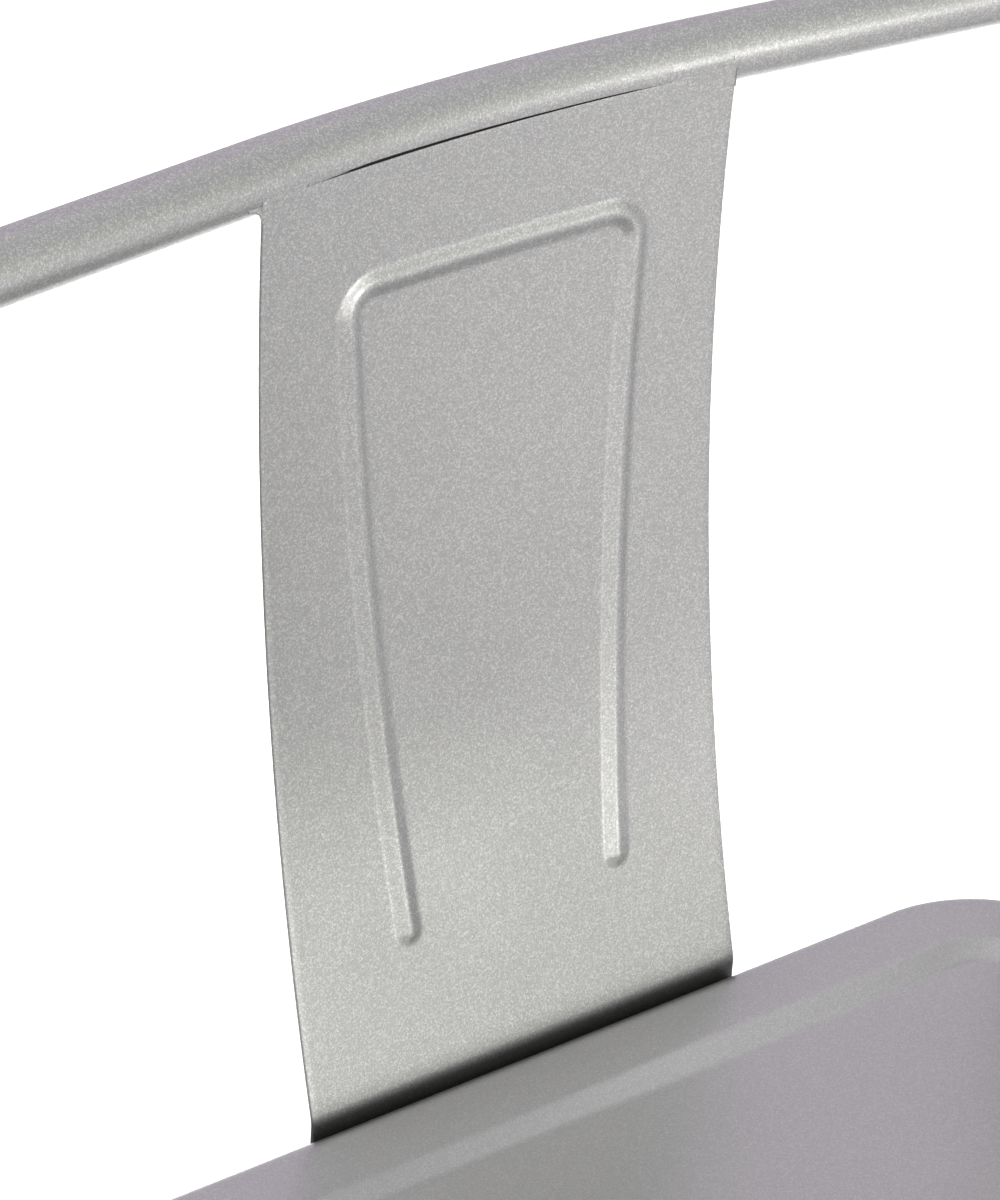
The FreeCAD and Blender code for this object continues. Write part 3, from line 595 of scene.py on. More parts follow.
@dataclass
class SeatPan(SubAssembly):
    """Pressed seat: flat middle, sloping step, flat rim, rolled edge and flared skirt, with its underside."""

    shell: Shell
    sheet: float = 1.5 * MM
    edge_radius: float = 11 * MM
    skirt: float = 44 * MM
    rim: float = 29.2 * MM
    step_width: float = 14.4 * MM
    step_depth: float = 3.3 * MM
    step_ease: float = 0.25
    drain: float = 10 * MM
    # Painted highlight on the step.
    step_shade: float = 0.13
    step_plateau: float = 1.8
    # Painted shade on the rim in front of the splat.
    gloom_shade: float = -0.13
    gloom_run: float = 30 * MM
    gloom_half: float = 55 * MM
    gloom_fade: float = 60 * MM
    gloom_ease: float = 0.5
    hole_ring: float = 0.004
    edge_ring: float = 0.01
    middle_steps: int = 8
    step_steps: int = 16
    rim_steps: int = 6
    roll_steps: int = 14
    skirt_steps: int = 4
    arc_steps: int = 24
    line_steps: int = 28

    def face(self, sunk: float) -> tuple[Array, Array, Array, Array, Array]:
        """Rings of one face of the sheet, from the drain hole out over the step and rim, round the roll and
        down the skirt. The step is an eased ramp, the roll a quarter circle. The step carries a painted
        highlight that makes it a little lighter, by a sine squared with its top cut off.

        Args:
            sunk: How far the face lies inside the outer face.

        Returns:
            Half width, half depth, corner radius, height and painted light of each ring.
        """
        shell, top = self.shell, self.shell.height - sunk
        share = stepped((0, self.hole_ring, 1), (1, self.middle_steps))
        inner, hole = self.rim + self.step_width, self.drain / 2
        middle_x = hole + (shell.width / 2 - inner - hole) * share
        middle_y = hole + (shell.depth / 2 - inner - hole) * share
        middle_r = hole + (shell.corner - inner - hole) * share
        middle_z = np.full(share.shape, top - self.step_depth)
        climb = spread((0, 1, self.step_steps))[1:]
        step_in = inner - self.step_width * climb
        step_z = top - self.step_depth * (1 - eased_ramp(climb, self.step_ease))
        roll = self.edge_radius - sunk
        outwards = spread((0, 1, self.rim_steps))[1:]
        rim_in = self.rim + (self.edge_radius - self.rim) * outwards
        turn = spread((0, math.pi / 2, self.roll_steps))[1:]
        roll_z = top - roll + roll * np.cos(turn)
        roll_in = self.edge_radius - roll * np.sin(turn)
        drop = stepped((0, 1 - self.edge_ring, 1), (self.skirt_steps, 1))[1:]
        skirt_z = top - roll + (shell.height - self.skirt - (top - roll)) * drop
        flank_z = np.concatenate([roll_z, skirt_z])
        flank_in = np.concatenate([roll_in, np.full(drop.shape, sunk)])
        plain_in = np.concatenate([step_in, rim_in])
        half_x = np.concatenate([middle_x, shell.width / 2 - plain_in, shell.half_x(flank_z) - flank_in])
        half_y = np.concatenate([middle_y, shell.depth / 2 - plain_in, shell.half_y(flank_z) - flank_in])
        radius = np.concatenate([middle_r, shell.corner - plain_in, shell.radius(flank_z) - flank_in])
        z = np.concatenate([middle_z, step_z, np.full(outwards.shape, top), flank_z])
        shade = np.zeros(z.shape)
        # Painted highlight on the step: its paint is a little lighter there.
        on_slope = np.clip(self.step_plateau * np.sin(math.pi * climb) ** 2, 0, 1)
        shade[len(share):len(share) + len(climb)] = self.step_shade * on_slope
        return half_x, half_y, radius, z, shade

    def gloom(self, points: Array) -> Array:
        """Painted shade on the rim in front of the splat: darker by an eased ramp towards the back, fading
        out to both sides.

        Args:
            points: Points of the seat.

        Returns:
            The painted shade there.
        """
        behind = points[..., 1] - self.shell.depth / 2 + self.rim + self.step_width / 2
        aside = np.abs(points[..., 0]) - self.gloom_half
        fading = 1 - eased_ramp(aside / self.gloom_fade, self.gloom_ease)
        return self.gloom_shade * eased_ramp(behind / self.gloom_run, self.gloom_ease) * fading

    def build(self) -> bpy.types.Object:
        """Outer face, then the inner face back to the drain hole, as one closed ring of rings.

        Returns:
            The seat.
        """
        outer, inner = self.face(0.0), self.face(self.sheet)
        half_x, half_y, radius, z, shade = (np.concatenate([a, b[::-1]]) for a, b in zip(outer, inner))
        points = rounded_rings((-half_x, half_x), (-half_y, half_y), [radius] * 4, z,
                               self.arc_steps, self.line_steps)
        faces = grid_faces(*points.shape[:2], ring_rows=True, ring_columns=True)
        # Painted light on the step and painted shade on the rim in front of the splat.
        shade = (1 + shade[:, None]) * (1 + self.gloom(points)) - 1
        return make_piece("seat", points, faces, ["seat_pan"], shade)


@dataclass
class BackRail(SubAssembly):
    """Bent tube: bowed top rail, two corners, two sides, elbows and tails beside the rear legs."""

    shell: Shell
    radius: float = 11 * MM
    wall: float = 1.2 * MM
    above_seat: float = 323.9 * MM
    behind_seat: float = 37 * MM
    sweep: float = math.radians(7.0)
    bow_radius: float = 733 * MM
    outside_seat: float = 33.68 * MM
    corner_radius: float = 48 * MM
    elbow_outside_seat: float = 19 * MM
    elbow_setback: float = 6 * MM
    elbow_above_seat: float = 38 * MM
    elbow_radius: float = 45 * MM
    setback: float = 60 * MM
    kink_below_seat: float = 8 * MM
    kink_radius: float = 45 * MM
    tail: float = 112 * MM
    skirt_gap: float = 0.15 * MM
    slit_left: float = -72 * MM
    slit_right: float = 66 * MM
    slit_lip: float = math.radians(17.8)
    slit_open: float = math.radians(7.5)
    slit_rise: float = 24 * MM
    slit_fall: float = 110 * MM
    slit_end: float = 20 * MM
    slit_slow: float = 0.45
    slit_ease: float = 0.4
    slit_bottom: float = math.radians(35)
    # Painted shadow of the slit over the splat.
    slit_shade: float = -0.965
    fine_below: tuple[float, float] = (math.radians(20), math.radians(10))
    around_steps: tuple[int, int, int] = (50, 24, 21)
    bend_stations: int = 33

    def __post_init__(self) -> None:
        """Work out where the middle of the top rail lies."""
        self.middle = np.array([0.0, self.shell.depth / 2 + self.behind_seat,
                                self.shell.height + self.above_seat])

    def bow(self, x: Array) -> Array:
        """Axis of the bowed top rail: a level circle of bow_radius, falling forwards on both sides.

        Args:
            x: Distance to the side of the middle.

        Returns:
            Points on the axis, with x kept.
        """
        drop = self.bow_radius - np.sqrt(self.bow_radius ** 2 - x ** 2)
        return self.middle + np.stack([x, -drop, np.zeros_like(x)], axis=-1)

    def corners(self) -> tuple[Array, list[float]]:
        """Where the straight runs of the axis would meet, from the left tail to the right one.

        Returns:
            The two ends with the corners between them, and the bend radius at each corner.
        """
        shell = self.shell
        half, rear = shell.width / 2, shell.depth / 2
        apex = self.middle + np.array([0.0, self.bow_radius * (1 / math.cos(self.sweep) - 1), 0.0])
        shoulder = apex + np.array([1.0, -math.tan(self.sweep), 0.0]) * (half + self.outside_seat)
        elbow = np.array([half + self.elbow_outside_seat, rear - self.elbow_setback,
                          shell.height + self.elbow_above_seat])
        kink_z = shell.height - self.kink_below_seat
        lean = shell.spread_x / shell.height
        stand_off = (self.radius + self.skirt_gap) * math.hypot(1, lean)
        kink = np.array([shell.half_x(kink_z) + stand_off, rear - self.setback, kink_z])
        down = np.array([lean, shell.spread_y / shell.height, -1.0])
        end = kink + down / np.linalg.norm(down) * self.tail
        right = np.stack([end, kink, elbow, shoulder])
        left = right * np.array([-1.0, 1.0, 1.0])
        side = [self.kink_radius, self.elbow_radius, self.corner_radius]
        return np.concatenate([left, apex[None], right[::-1]]), side + [self.bow_radius] + side[::-1]

    def axis(self) -> tuple[Array, Array]:
        """Stations along the axis: straight runs joined by tangent arcs.

        Returns:
            Points and unit tangents.
        """
        points, radii = self.corners()
        stations, tangents = [points[:1]], []
        for before, corner, after, radius in zip(points, points[1:], points[2:], radii):
            back = (before - corner) / np.linalg.norm(before - corner)
            ahead = (after - corner) / np.linalg.norm(after - corner)
            half = math.acos(float(back @ ahead)) / 2
            inwards = (back + ahead) / np.linalg.norm(back + ahead)
            centre = corner + inwards * radius / math.sin(half)
            sweep = math.pi / 2 - half
            turn = np.linspace(-sweep, sweep, self.bend_stations)[:, None]
            along = (ahead - back) / np.linalg.norm(ahead - back)
            stations.append(centre + radius * (np.sin(turn) * along - np.cos(turn) * inwards))
            tangents.append(np.cos(turn) * along + np.sin(turn) * inwards)
        stations.append(points[-1:])
        tangents = [tangents[0][:1]] + tangents + [tangents[-1][-1:]]
        return np.concatenate(stations), np.concatenate(tangents)

    def angles(self) -> Array:
        """Angles round the tube, from the top over the back; close together at the slit over the splat."""
        near, far = (FRONT_OF_TUBE - below for below in self.fine_below)
        return stepped((0, near, far, 2 * math.pi), self.around_steps)[:-1]

    def tube(self, points: Array, tangents: Array, radius: float) -> Array:
        """Circles of a radius carried along the axis, square to it, turned by a fixed reference direction.

        Args:
            points: Stations on the axis.
            tangents: Unit tangents there.
            radius: Radius of the circles.

        Returns:
            Points shaped (stations, columns, 3).
        """
        upwards = np.cross(tangents, np.array([0.0, 1.0, 0.0]))
        upwards /= np.linalg.norm(upwards, axis=1, keepdims=True)
        backwards = np.cross(upwards, tangents)
        angle = self.angles()[:, None]
        ring = np.cos(angle) * upwards[:, None, :] + np.sin(angle) * backwards[:, None, :]
        return points[:, None, :] + radius * ring

    def slit(self, points: Array) -> Array:
        """Painted shadow inside the slit over the splat, whose narrow gap is modelled on the sheet: a dark
        strip painted below the front of the rail, whose height rises from the left end by an eased ramp, and
        falls to the right one by a slow and a fast one.

        Args:
            points: Stations on the axis.

        Returns:
            Painted shadow on the outside of the tube, shaped (stations, columns).
        """
        rising = eased_ramp((points[:, 0] - self.slit_left) / self.slit_rise, self.slit_ease)
        to_right = self.slit_right - points[:, 0]
        slow, fast = (eased_ramp(to_right / run, self.slit_ease) for run in (self.slit_fall, self.slit_end))
        falling = self.slit_slow * slow + (1 - self.slit_slow) * fast
        on_rail = (rising * falling > 0) & (points[:, 2] > self.middle[2] - self.radius)
        top = self.slit_lip - self.slit_open * rising * falling
        below = FRONT_OF_TUBE - self.angles()
        inside = (below > top[:, None]) & (below < self.slit_bottom)
        return np.where(inside & on_rail[:, None], self.slit_shade, 0.0)

    def build(self) -> bpy.types.Object:
        """Outside of the tube there and its bore back, joined at both ends.

        Returns:
            The rail.
        """
        points, tangents = self.axis()
        outer = self.tube(points, tangents, self.radius)
        bore = self.tube(points, tangents, self.radius - self.wall)[::-1]
        surface = np.concatenate([outer, bore])
        # Painted shadow of the slit on the outside of the tube; none in the bore.
        shade = np.concatenate([self.slit(points), np.zeros(bore.shape[:2])])
        faces = grid_faces(*surface.shape[:2], ring_rows=True, ring_columns=True)
        return make_piece("rail", surface, faces, ["back_rail"], shade)


@dataclass
class BackSplat(SubAssembly):
    """Bowed sheet from the rear skirt to the rail, with a pressed rib like an upside-down U."""

    shell: Shell
    rail: BackRail
    sheet: float = 1.5 * MM
    foot_width: float = 172.7 * MM
    waist_width: float = 173.8 * MM
    top_width: float = 177.7 * MM
    bow: float = 11.8 * MM
    bend_radius: float = 15 * MM
    bend_below_seat: float = -1.5 * MM
    foot_below_seat: float = 37 * MM
    skirt_gap: float = 0.1 * MM
    seam_gap: float = 0.4 * MM
    seam_round: float = 0.2 * MM
    edge_round: float = 0.7 * MM
    # Painted shade on the cut edges.
    edge_shade: float = -0.5
    rib_top: float = 280.1 * MM
    rib_foot: float = 53.5 * MM
    rib_top_span: float = 110.4 * MM
    rib_foot_span: float = 84.0 * MM
    rib_aside: float = 0.5 * MM
    rib_corner: float = 10 * MM
    rib_width: float = 11 * MM
    rib_height: float = 1.95 * MM
    rib_top_height: float = 1.55 * MM
    rib_top_run: float = 16 * MM
    rib_top_ease: float = 0.5
    # Painted shadow in the crevice above the seat, and a painted gloom over it.
    crevice_top: float = 4.2 * MM
    crevice_fade: float = 4.8 * MM
    crevice_ease: float = 0.35
    crevice_shade: float = -0.74
    gloom_top: float = 10.5 * MM
    gloom_fade: float = 11 * MM
    gloom_ease: float = 0.4
    # Painted light over the lower part of the front.
    painted_light_top: float = 170 * MM
    painted_light_fade: float = 160 * MM
    painted_light_ease: float = 0.4
    painted_light_share: float = 0.37
    fine_inside: float = 1.6
    fine_outside: float = 0.6
    fine_past_end: float = 1.3
    fine_below_top: float = 4.0
    column_steps: tuple[int, int, int] = (12, 44, 12)
    row_steps: tuple[int, ...] = (14, 14, 22, 60, 56)
    foot_steps: int = 6
    bend_steps: int = 10
    top_steps: int = 16
    seam_steps: int = 5
    edge_steps: int = 4

    def __post_init__(self) -> None:
        """Fit the bowed part's circle to the bend and the rail, and the bend's circle to its neighbours."""
        shell = self.shell
        lean = shell.spread_y / shell.height
        bend_z = shell.height - self.bend_below_seat
        self.skirt = np.array([1.0, lean]) / math.hypot(1, lean)
        self.upwards = np.array([-self.skirt[1], self.skirt[0]])
        self.bend = np.array([shell.half_y(bend_z) + self.skirt_gap * math.hypot(1, lean), bend_z])
        self.top = self.rail.middle[1:] - np.array([self.rail.radius, 0.0])
        chord = self.top - self.bend
        length = float(np.linalg.norm(chord))
        self.radius = (length ** 2 / 4 + self.bow ** 2) / (2 * self.bow)
        backwards = np.array([chord[1], -chord[0]]) / length
        self.centre = self.bend + chord / 2 + backwards * (self.bow - self.radius)
        self.bend_outside = self.bend_radius + self.sheet
        beside = self.bend + self.skirt * self.bend_outside - self.centre
        climb = float(beside @ self.upwards)
        reach = self.radius + self.bend_outside
        rise = -climb - math.sqrt(climb ** 2 - float(beside @ beside) + reach ** 2)
        self.bend_centre = self.centre + beside + self.upwards * rise
        self.bowed_back = (self.bend_centre - self.centre) / reach
        self.bowed_z = float(self.centre[1] + self.bowed_back[1] * self.radius)
        self.edge_bow = float(self.rail.middle[1] - self.rail.bow(np.array(self.top_width / 2))[1])

    def rise(self, z: Array) -> Array:
        """Share of the way up from the bend to the rail."""
        return np.clip((z - self.bend[1]) / (self.top[1] - self.bend[1]), 0, None)

    def half_width(self, z: Array) -> Array:
        """Half the width: a parabola through the foot's, the waist's and the top's.

        Args:
            z: Heights.

        Returns:
            Half the width there.
        """
        f = self.rise(z)
        return (self.foot_width * (1 - f) * (1 - 2 * f) + self.waist_width * 4 * f * (1 - f)
                + self.top_width * f * (2 * f - 1)) / 2

    def rib_distance(self, x: Array, z: Array) -> Array:
        """Distance from the rib's middle line: two straight legs, two corner arcs and a straight top.

        Args:
            x: Distance to the side of the middle.
            z: Height.

        Returns:
            Distance to the nearest point of the line, as seen from the front.
        """
        place = np.stack([np.abs(x - self.rib_aside), z], axis=-1)
        foot = np.array([self.rib_foot_span / 2, self.shell.height + self.rib_foot])
        knee = np.array([self.rib_top_span / 2, self.shell.height + self.rib_top])
        leg = (knee - foot) / np.linalg.norm(knee - foot)
        inwards = np.array([-1.0, 0.0])
        half = math.acos(float(-leg @ inwards)) / 2
        run = self.rib_corner / math.tan(half)
        bisector = (inwards - leg) / np.linalg.norm(inwards - leg)
        centre = knee + bisector * self.rib_corner / math.sin(half)
        along = np.clip((place - foot) @ leg, 0, np.linalg.norm(knee - foot) - run)
        to_leg = np.linalg.norm(place - foot - along[..., None] * leg, axis=-1)
        top_x = np.clip(place[..., 0], 0, knee[0] - run)
        to_top = np.hypot(place[..., 0] - top_x, place[..., 1] - knee[1])
        spoke = place - centre
        outside = (spoke @ leg > 0) & (spoke @ inwards < 0)
        to_arc = np.abs(np.linalg.norm(spoke, axis=-1) - self.rib_corner)
        return np.minimum(np.minimum(to_leg, to_top), np.where(outside, to_arc, np.inf))

    def rib_rise(self, x: Array, z: Array) -> Array:
        """Height of the rib: one wave of a cosine across its width, lower along the top than down the legs.

        Args:
            x: Distance to the side of the middle.
            z: Height.

        Returns:
            How far the rib stands out there.
        """
        share = np.clip(2 * self.rib_distance(x, z) / self.rib_width, 0, 1)
        climb = (z - self.shell.height - self.rib_top + self.rib_top_run) / self.rib_top_run
        change = (self.rib_top_height - self.rib_height) * eased_ramp(climb, self.rib_top_ease)
        return (self.rib_height + change) * (1 + np.cos(math.pi * share)) / 2

    def columns(self, z: Array) -> Array:
        """Places across the front for each height: close together over the rib's legs and corners.

        Args:
            z: Height of each row.

        Returns:
            Distances from the middle, shaped (rows, columns).
        """
        slope = (self.rib_top_span - self.rib_foot_span) / 2 / (self.rib_top - self.rib_foot)
        leg = self.rib_foot_span / 2 + slope * np.clip(
            z - self.shell.height - self.rib_foot, 0, self.rib_top - self.rib_foot)
        inner, outer = leg - self.fine_inside * self.rib_width, leg + self.fine_outside * self.rib_width
        share = [spread((0, 1, steps))[None, :] for steps in self.column_steps]
        stops = [np.zeros_like(z), inner, outer, self.half_width(z)]
        runs = [a[:, None] + (b - a)[:, None] * s for a, b, s in zip(stops, stops[1:], share)]
        right = np.concatenate([runs[0], runs[1][:, 1:], runs[2][:, 1:]], axis=1)
        return np.concatenate([-right[:, :0:-1], right], axis=1)

    def rows(self) -> Array:
        """Heights of the bowed part's rows: close together above the bend and at the rib's ends and top.

        Returns:
            The heights, from the bend up.
        """
        half = self.rib_width / 2
        foot, top = self.shell.height + self.rib_foot, self.shell.height + self.rib_top
        stops = [self.bowed_z, self.bowed_z + self.gloom_fade, foot - self.fine_past_end * half, foot + half,
                 top - self.fine_below_top * half, top + self.fine_past_end * half]
        return stepped(stops, self.row_steps)

    def foot_points(self, depth: float) -> Array:
        """One face of the flat foot and of the bend above it, which is an arc.

        Args:
            depth: How far the face lies behind the front face.

        Returns:
            Points shaped (rows, columns, 3).
        """
        low = self.bend - self.upwards * (self.foot_below_seat - self.bend_below_seat)
        turn = math.acos(float(self.skirt @ self.bowed_back))
        angle = spread((0, turn, self.bend_steps))[:-1, None]
        bend_back = np.cos(angle) * self.skirt - np.sin(angle) * self.upwards
        bend_line = self.bend_centre - bend_back * self.bend_outside
        foot_line = low + (bend_line[0] - low) * spread((0, 1, self.foot_steps))[:-1, None]
        line = np.concatenate([foot_line, bend_line])
        back = np.concatenate([np.broadcast_to(self.skirt, foot_line.shape), bend_back])
        x = self.columns(np.full(len(line), self.bend[1]))
        points = np.empty((*x.shape, 3))
        points[..., 0] = x
        points[..., 1:] = (line + back * depth)[:, None, :]
        return points

    def surface(self, depth: float) -> Array:
        """One face of the sheet: a flat foot, a bend, then a bowed part that ends at the seam under the rail.
        The bowed part lies on a circle seen from the side and bows forwards at its edges by a parabola; its
        top edge is rounded by a quarter circle.

        Args:
            depth: How far the face lies behind the front face.

        Returns:
            Points shaped (rows, columns, 3).
        """
        z = self.rows()
        x = self.columns(z)
        bowed = self.bowed_points(x, np.broadcast_to(z[:, None], x.shape), depth)
        share = spread((0, 1, self.top_steps))[1:, None]
        turn = spread((0, math.pi / 2, self.seam_steps))[1:, None]
        end_z = self.seam_z(x[-1], depth) - self.seam_round
        top_z = np.concatenate([z[-1] + (end_z - z[-1]) * share, end_z + self.seam_round * np.sin(turn)])
        inwards = np.concatenate([0 * share, self.seam_round * (1 - np.cos(turn))])
        top_x = x[-1] * self.half_width(top_z) / self.half_width(z[-1:])
        top_depth = depth + (inwards if depth == 0 else -inwards)
        return np.concatenate([self.foot_points(depth), bowed, self.bowed_points(top_x, top_z, top_depth)])

    def bowed_points(self, x: Array, z: Array, depth: Array) -> Array:
        """Points of the bowed part, on its circle less the bow of the edges, with the rib pressed forwards.

        Args:
            x: Places across it.
            z: Heights on the circle.
            depth: How far the points lie behind the front face.

        Returns:
            The points.
        """
        sine = (z - self.centre[1]) / self.radius
        side_bow = self.edge_bow * self.rise(z) ** 2 * (x / self.half_width(z)) ** 2
        reach = self.radius + depth - side_bow - self.rib_rise(x, z)
        y = self.centre[0] + reach * np.sqrt(1 - sine ** 2)
        return np.stack([x, y, self.centre[1] + reach * sine], axis=-1)

    def seam_z(self, x: Array, depth: float) -> Array:
        """Height where a face meets the gap round the rail: a circle about the rail's axis.

        Args:
            x: Places across the sheet.
            depth: How far the face lies behind the front face.

        Returns:
            The height at each place.
        """
        behind = self.rail.radius - depth
        height = math.sqrt((self.rail.radius + self.seam_gap) ** 2 - behind ** 2)
        return np.full(x.shape, self.rail.middle[2] - height)

    def edge_turn(self) -> Array:
        """Angles round the roll of a cut edge, from the face to the edge."""
        return spread((0, math.pi / 2, self.edge_steps))

    def rounded_face(self, near: Array, far: Array) -> Array:
        """One face with its two side columns rolled over by a quarter circle towards the other face.

        Args:
            near: Points of the face, shaped (rows, columns, 3).
            far: Points of the other face.

        Returns:
            The face with more columns at both sides.
        """
        turn = self.edge_turn()[:, None]
        aside = np.array([1.0, 0.0, 0.0]) * self.edge_round * (1 - np.sin(turn))
        deep = self.edge_round * (1 - np.cos(turn)) / self.sheet
        left = near[:, :1] + aside + (far - near)[:, :1] * deep
        right = near[:, -1:] - aside + (far - near)[:, -1:] * deep
        return np.concatenate([left[:, ::-1], near[:, 1:-1], right], axis=1)

    def front_shade(self, z: Array) -> Array:
        """Painted shade and light on the front: a painted shadow in the crevice above the seat, with a
        painted gloom over it, and painted light over the lower part, each an eased ramp of the height.

        Args:
            z: Heights.

        Returns:
            The painted light or shade there.
        """
        above = z - self.shell.height
        crevice = eased_ramp((self.crevice_top - above) / self.crevice_fade, self.crevice_ease)
        gloom = eased_ramp((self.gloom_top - above) / self.gloom_fade, self.gloom_ease)
        # Painted light, lighter towards the bottom of the front.
        pale = eased_ramp((self.painted_light_top - above) / self.painted_light_fade, self.painted_light_ease)
        return (1 + self.painted_light_share * pale) * (1 + self.crevice_shade * (crevice + gloom) / 2) - 1

    def build(self) -> bpy.types.Object:
        """Front face and back face as closed loops row by row, with rounded cut edges that carry painted
        shade.

        Returns:
            The splat.
        """
        front, back = self.surface(0.0), self.surface(self.sheet)
        faces = [self.rounded_face(front, back), self.rounded_face(back, front)[:, ::-1]]
        loops = np.concatenate(faces, axis=1)
        # Painted shade on both cut edges, front and back.
        cut = self.edge_shade * np.sin(self.edge_turn()) ** 2
        edges = np.concatenate([cut[::-1], np.zeros(faces[0].shape[1] - 2 * len(cut)), cut])
        shade = np.concatenate([(1 + self.front_shade(faces[0][..., 2])) * (1 + edges) - 1,
                                np.broadcast_to(edges, faces[1].shape[:2])], axis=1)
        return make_piece("splat", loops, closed_bar(loops), ["back_splat"], shade)


@dataclass
class SplatWelds(SubAssembly):
    """Ground and painted welds that run the splat's two top corners into the rail."""

    splat: BackSplat
    left_length: float = 17.2 * MM
    right_length: float = 24 * MM
    below_axis: float = 9 * MM
    above_axis: float = math.radians(38)
    proud: float = 0.1 * MM
    border_sunk: float = 0.06 * MM
    core: float = 0.7 * MM
    run_out: float = 7 * MM
    run_out_ease: float = 0.5
    bead_radius: float = 1.5 * MM
    bead_behind: float = 8.3 * MM
    bead_below: float = 6.4 * MM
    bead_taper: float = 0.9
    bead_power: int = 6
    web_radius: float = 4.2 * MM
    web_rim: float = 0.4 * MM
    web_sink: float = 0.5 * MM
    web_below: float = 5.9 * MM
    web_skin: float = 0.1 * MM
    web_past: float = 0.1
    along_steps: int = 30
    sheet_steps: int = 14
    rail_steps: int = 12
    bead_steps: int = 16
    web_steps: int = 12
    rim_steps: int = 9

    def forwards(self, x: Array) -> Array:
        """Level direction out of the front of the bowed rail, square to its axis."""
        sine = -x / self.splat.rail.bow_radius
        return np.stack([sine, -np.sqrt(1 - sine ** 2), np.zeros_like(x)], axis=-1)

    def cap(self, x: Array, lift: Array) -> tuple[Array, Array]:
        """Skin over the seam: up the sheet to the rail's axis, then round the rail, raised along the normal.

        Args:
            x: Stations along the weld.
            lift: Height of the middle of the skin at each station.

        Returns:
            Points of the skin and of its buried underside, shaped (stations, columns, 3).
        """
        rail, splat = self.splat.rail, self.splat
        climb = spread((-self.below_axis, 0, self.sheet_steps))[:-1]
        turn = spread((0, self.above_axis, self.rail_steps))
        front = self.forwards(x)[:, None, :]
        wide = np.broadcast_to(x[:, None], (len(x), len(climb)))
        high = np.broadcast_to(rail.middle[2] + climb, wide.shape)
        on_sheet = splat.bowed_points(wide, high, 0.0)
        spoke = np.cos(turn)[:, None] * front + np.sin(turn)[:, None] * UPRIGHT
        on_rail = rail.bow(x)[:, None, :] + rail.radius * spoke
        base = np.concatenate([on_sheet, on_rail], axis=1)
        normal = np.concatenate([np.broadcast_to(front, on_sheet.shape), spoke], axis=1)
        reach = np.concatenate([climb / self.below_axis, turn / self.above_axis])
        swell = (1 - reach ** 2) ** 2
        rise = (lift[:, None] + self.border_sunk) * swell - self.border_sunk
        return base + normal * rise[..., None], base - normal * self.core

    def bead(self, x: Array) -> Array:
        """Fillet in the corner behind the sheet: a circle carried along the rail, drawn in at both ends.

        Args:
            x: Stations along the weld.

        Returns:
            Loops shaped (stations, columns, 3).
        """
        share = np.linspace(-1, 1, len(x))
        radius = self.bead_radius * (1 - self.bead_taper * np.abs(share) ** self.bead_power)
        angle = np.linspace(0, 2 * math.pi, self.bead_steps, endpoint=False)[:, None]
        centre = self.splat.rail.bow(x) + self.forwards(x) * self.bead_behind
        centre[:, 2] -= self.bead_below
        ring = np.cos(angle) * self.forwards(x)[:, None, :] + np.sin(angle) * UPRIGHT
        return centre[:, None, :] + radius[:, None, None] * ring

    def web(self) -> Array:
        """Metal that rounds off the left corner between the sheet's edge and the rail: an arc in the plane of
        the sheet, whose rim is a half ellipse.

        Returns:
            Loops shaped (stations, columns, 3).
        """
        splat, fillet = self.splat, self.web_radius
        turn = spread((-self.web_past, math.pi / 2 + self.web_past, self.web_steps))[:, None]
        rim = spread((-math.pi / 2, math.pi / 2, self.rim_steps))
        inner = np.linspace(1, -1, len(rim))
        reach = np.concatenate([fillet + self.web_rim * (1 - np.cos(rim)), np.full(len(rim), 2 * fillet)])
        near = self.web_skin + self.web_sink * np.sin(turn) ** 2
        far = splat.sheet - self.web_skin
        deep = (near + far) / 2 + (far - near) / 2 * np.concatenate([np.sin(rim), inner])
        x = -splat.top_width / 2 - fillet + reach * np.cos(turn)
        z = splat.rail.middle[2] - self.web_below - fillet + reach * np.sin(turn)
        return splat.bowed_points(x, z, deep)

    def build(self, side: Side) -> bpy.types.Object:
        """One weld: its skin runs out at both ends and stops square at the splat's edge.

        Args:
            side: Which of the two.

        Returns:
            The weld.
        """
        length = self.right_length if side is Side.RIGHT else self.left_length
        along = spread((0, length, self.along_steps))
        runs = (along, length - along)
        starting, ending = (eased_ramp(run / self.run_out, self.run_out_ease) for run in runs)
        x = side.value * (self.splat.top_width / 2 - length + along)
        skin, underside = self.cap(x, self.proud * starting * ending)
        bars = [np.concatenate([skin, underside[:, ::-1]], axis=1), self.bead(x)]
        if side is Side.LEFT:
            bars.append(self.web())
        points, faces = joined(bars)
        name = side.name.lower()
        return make_piece(f"{name}_weld", points, faces, [f"splat_weld_{name}"])


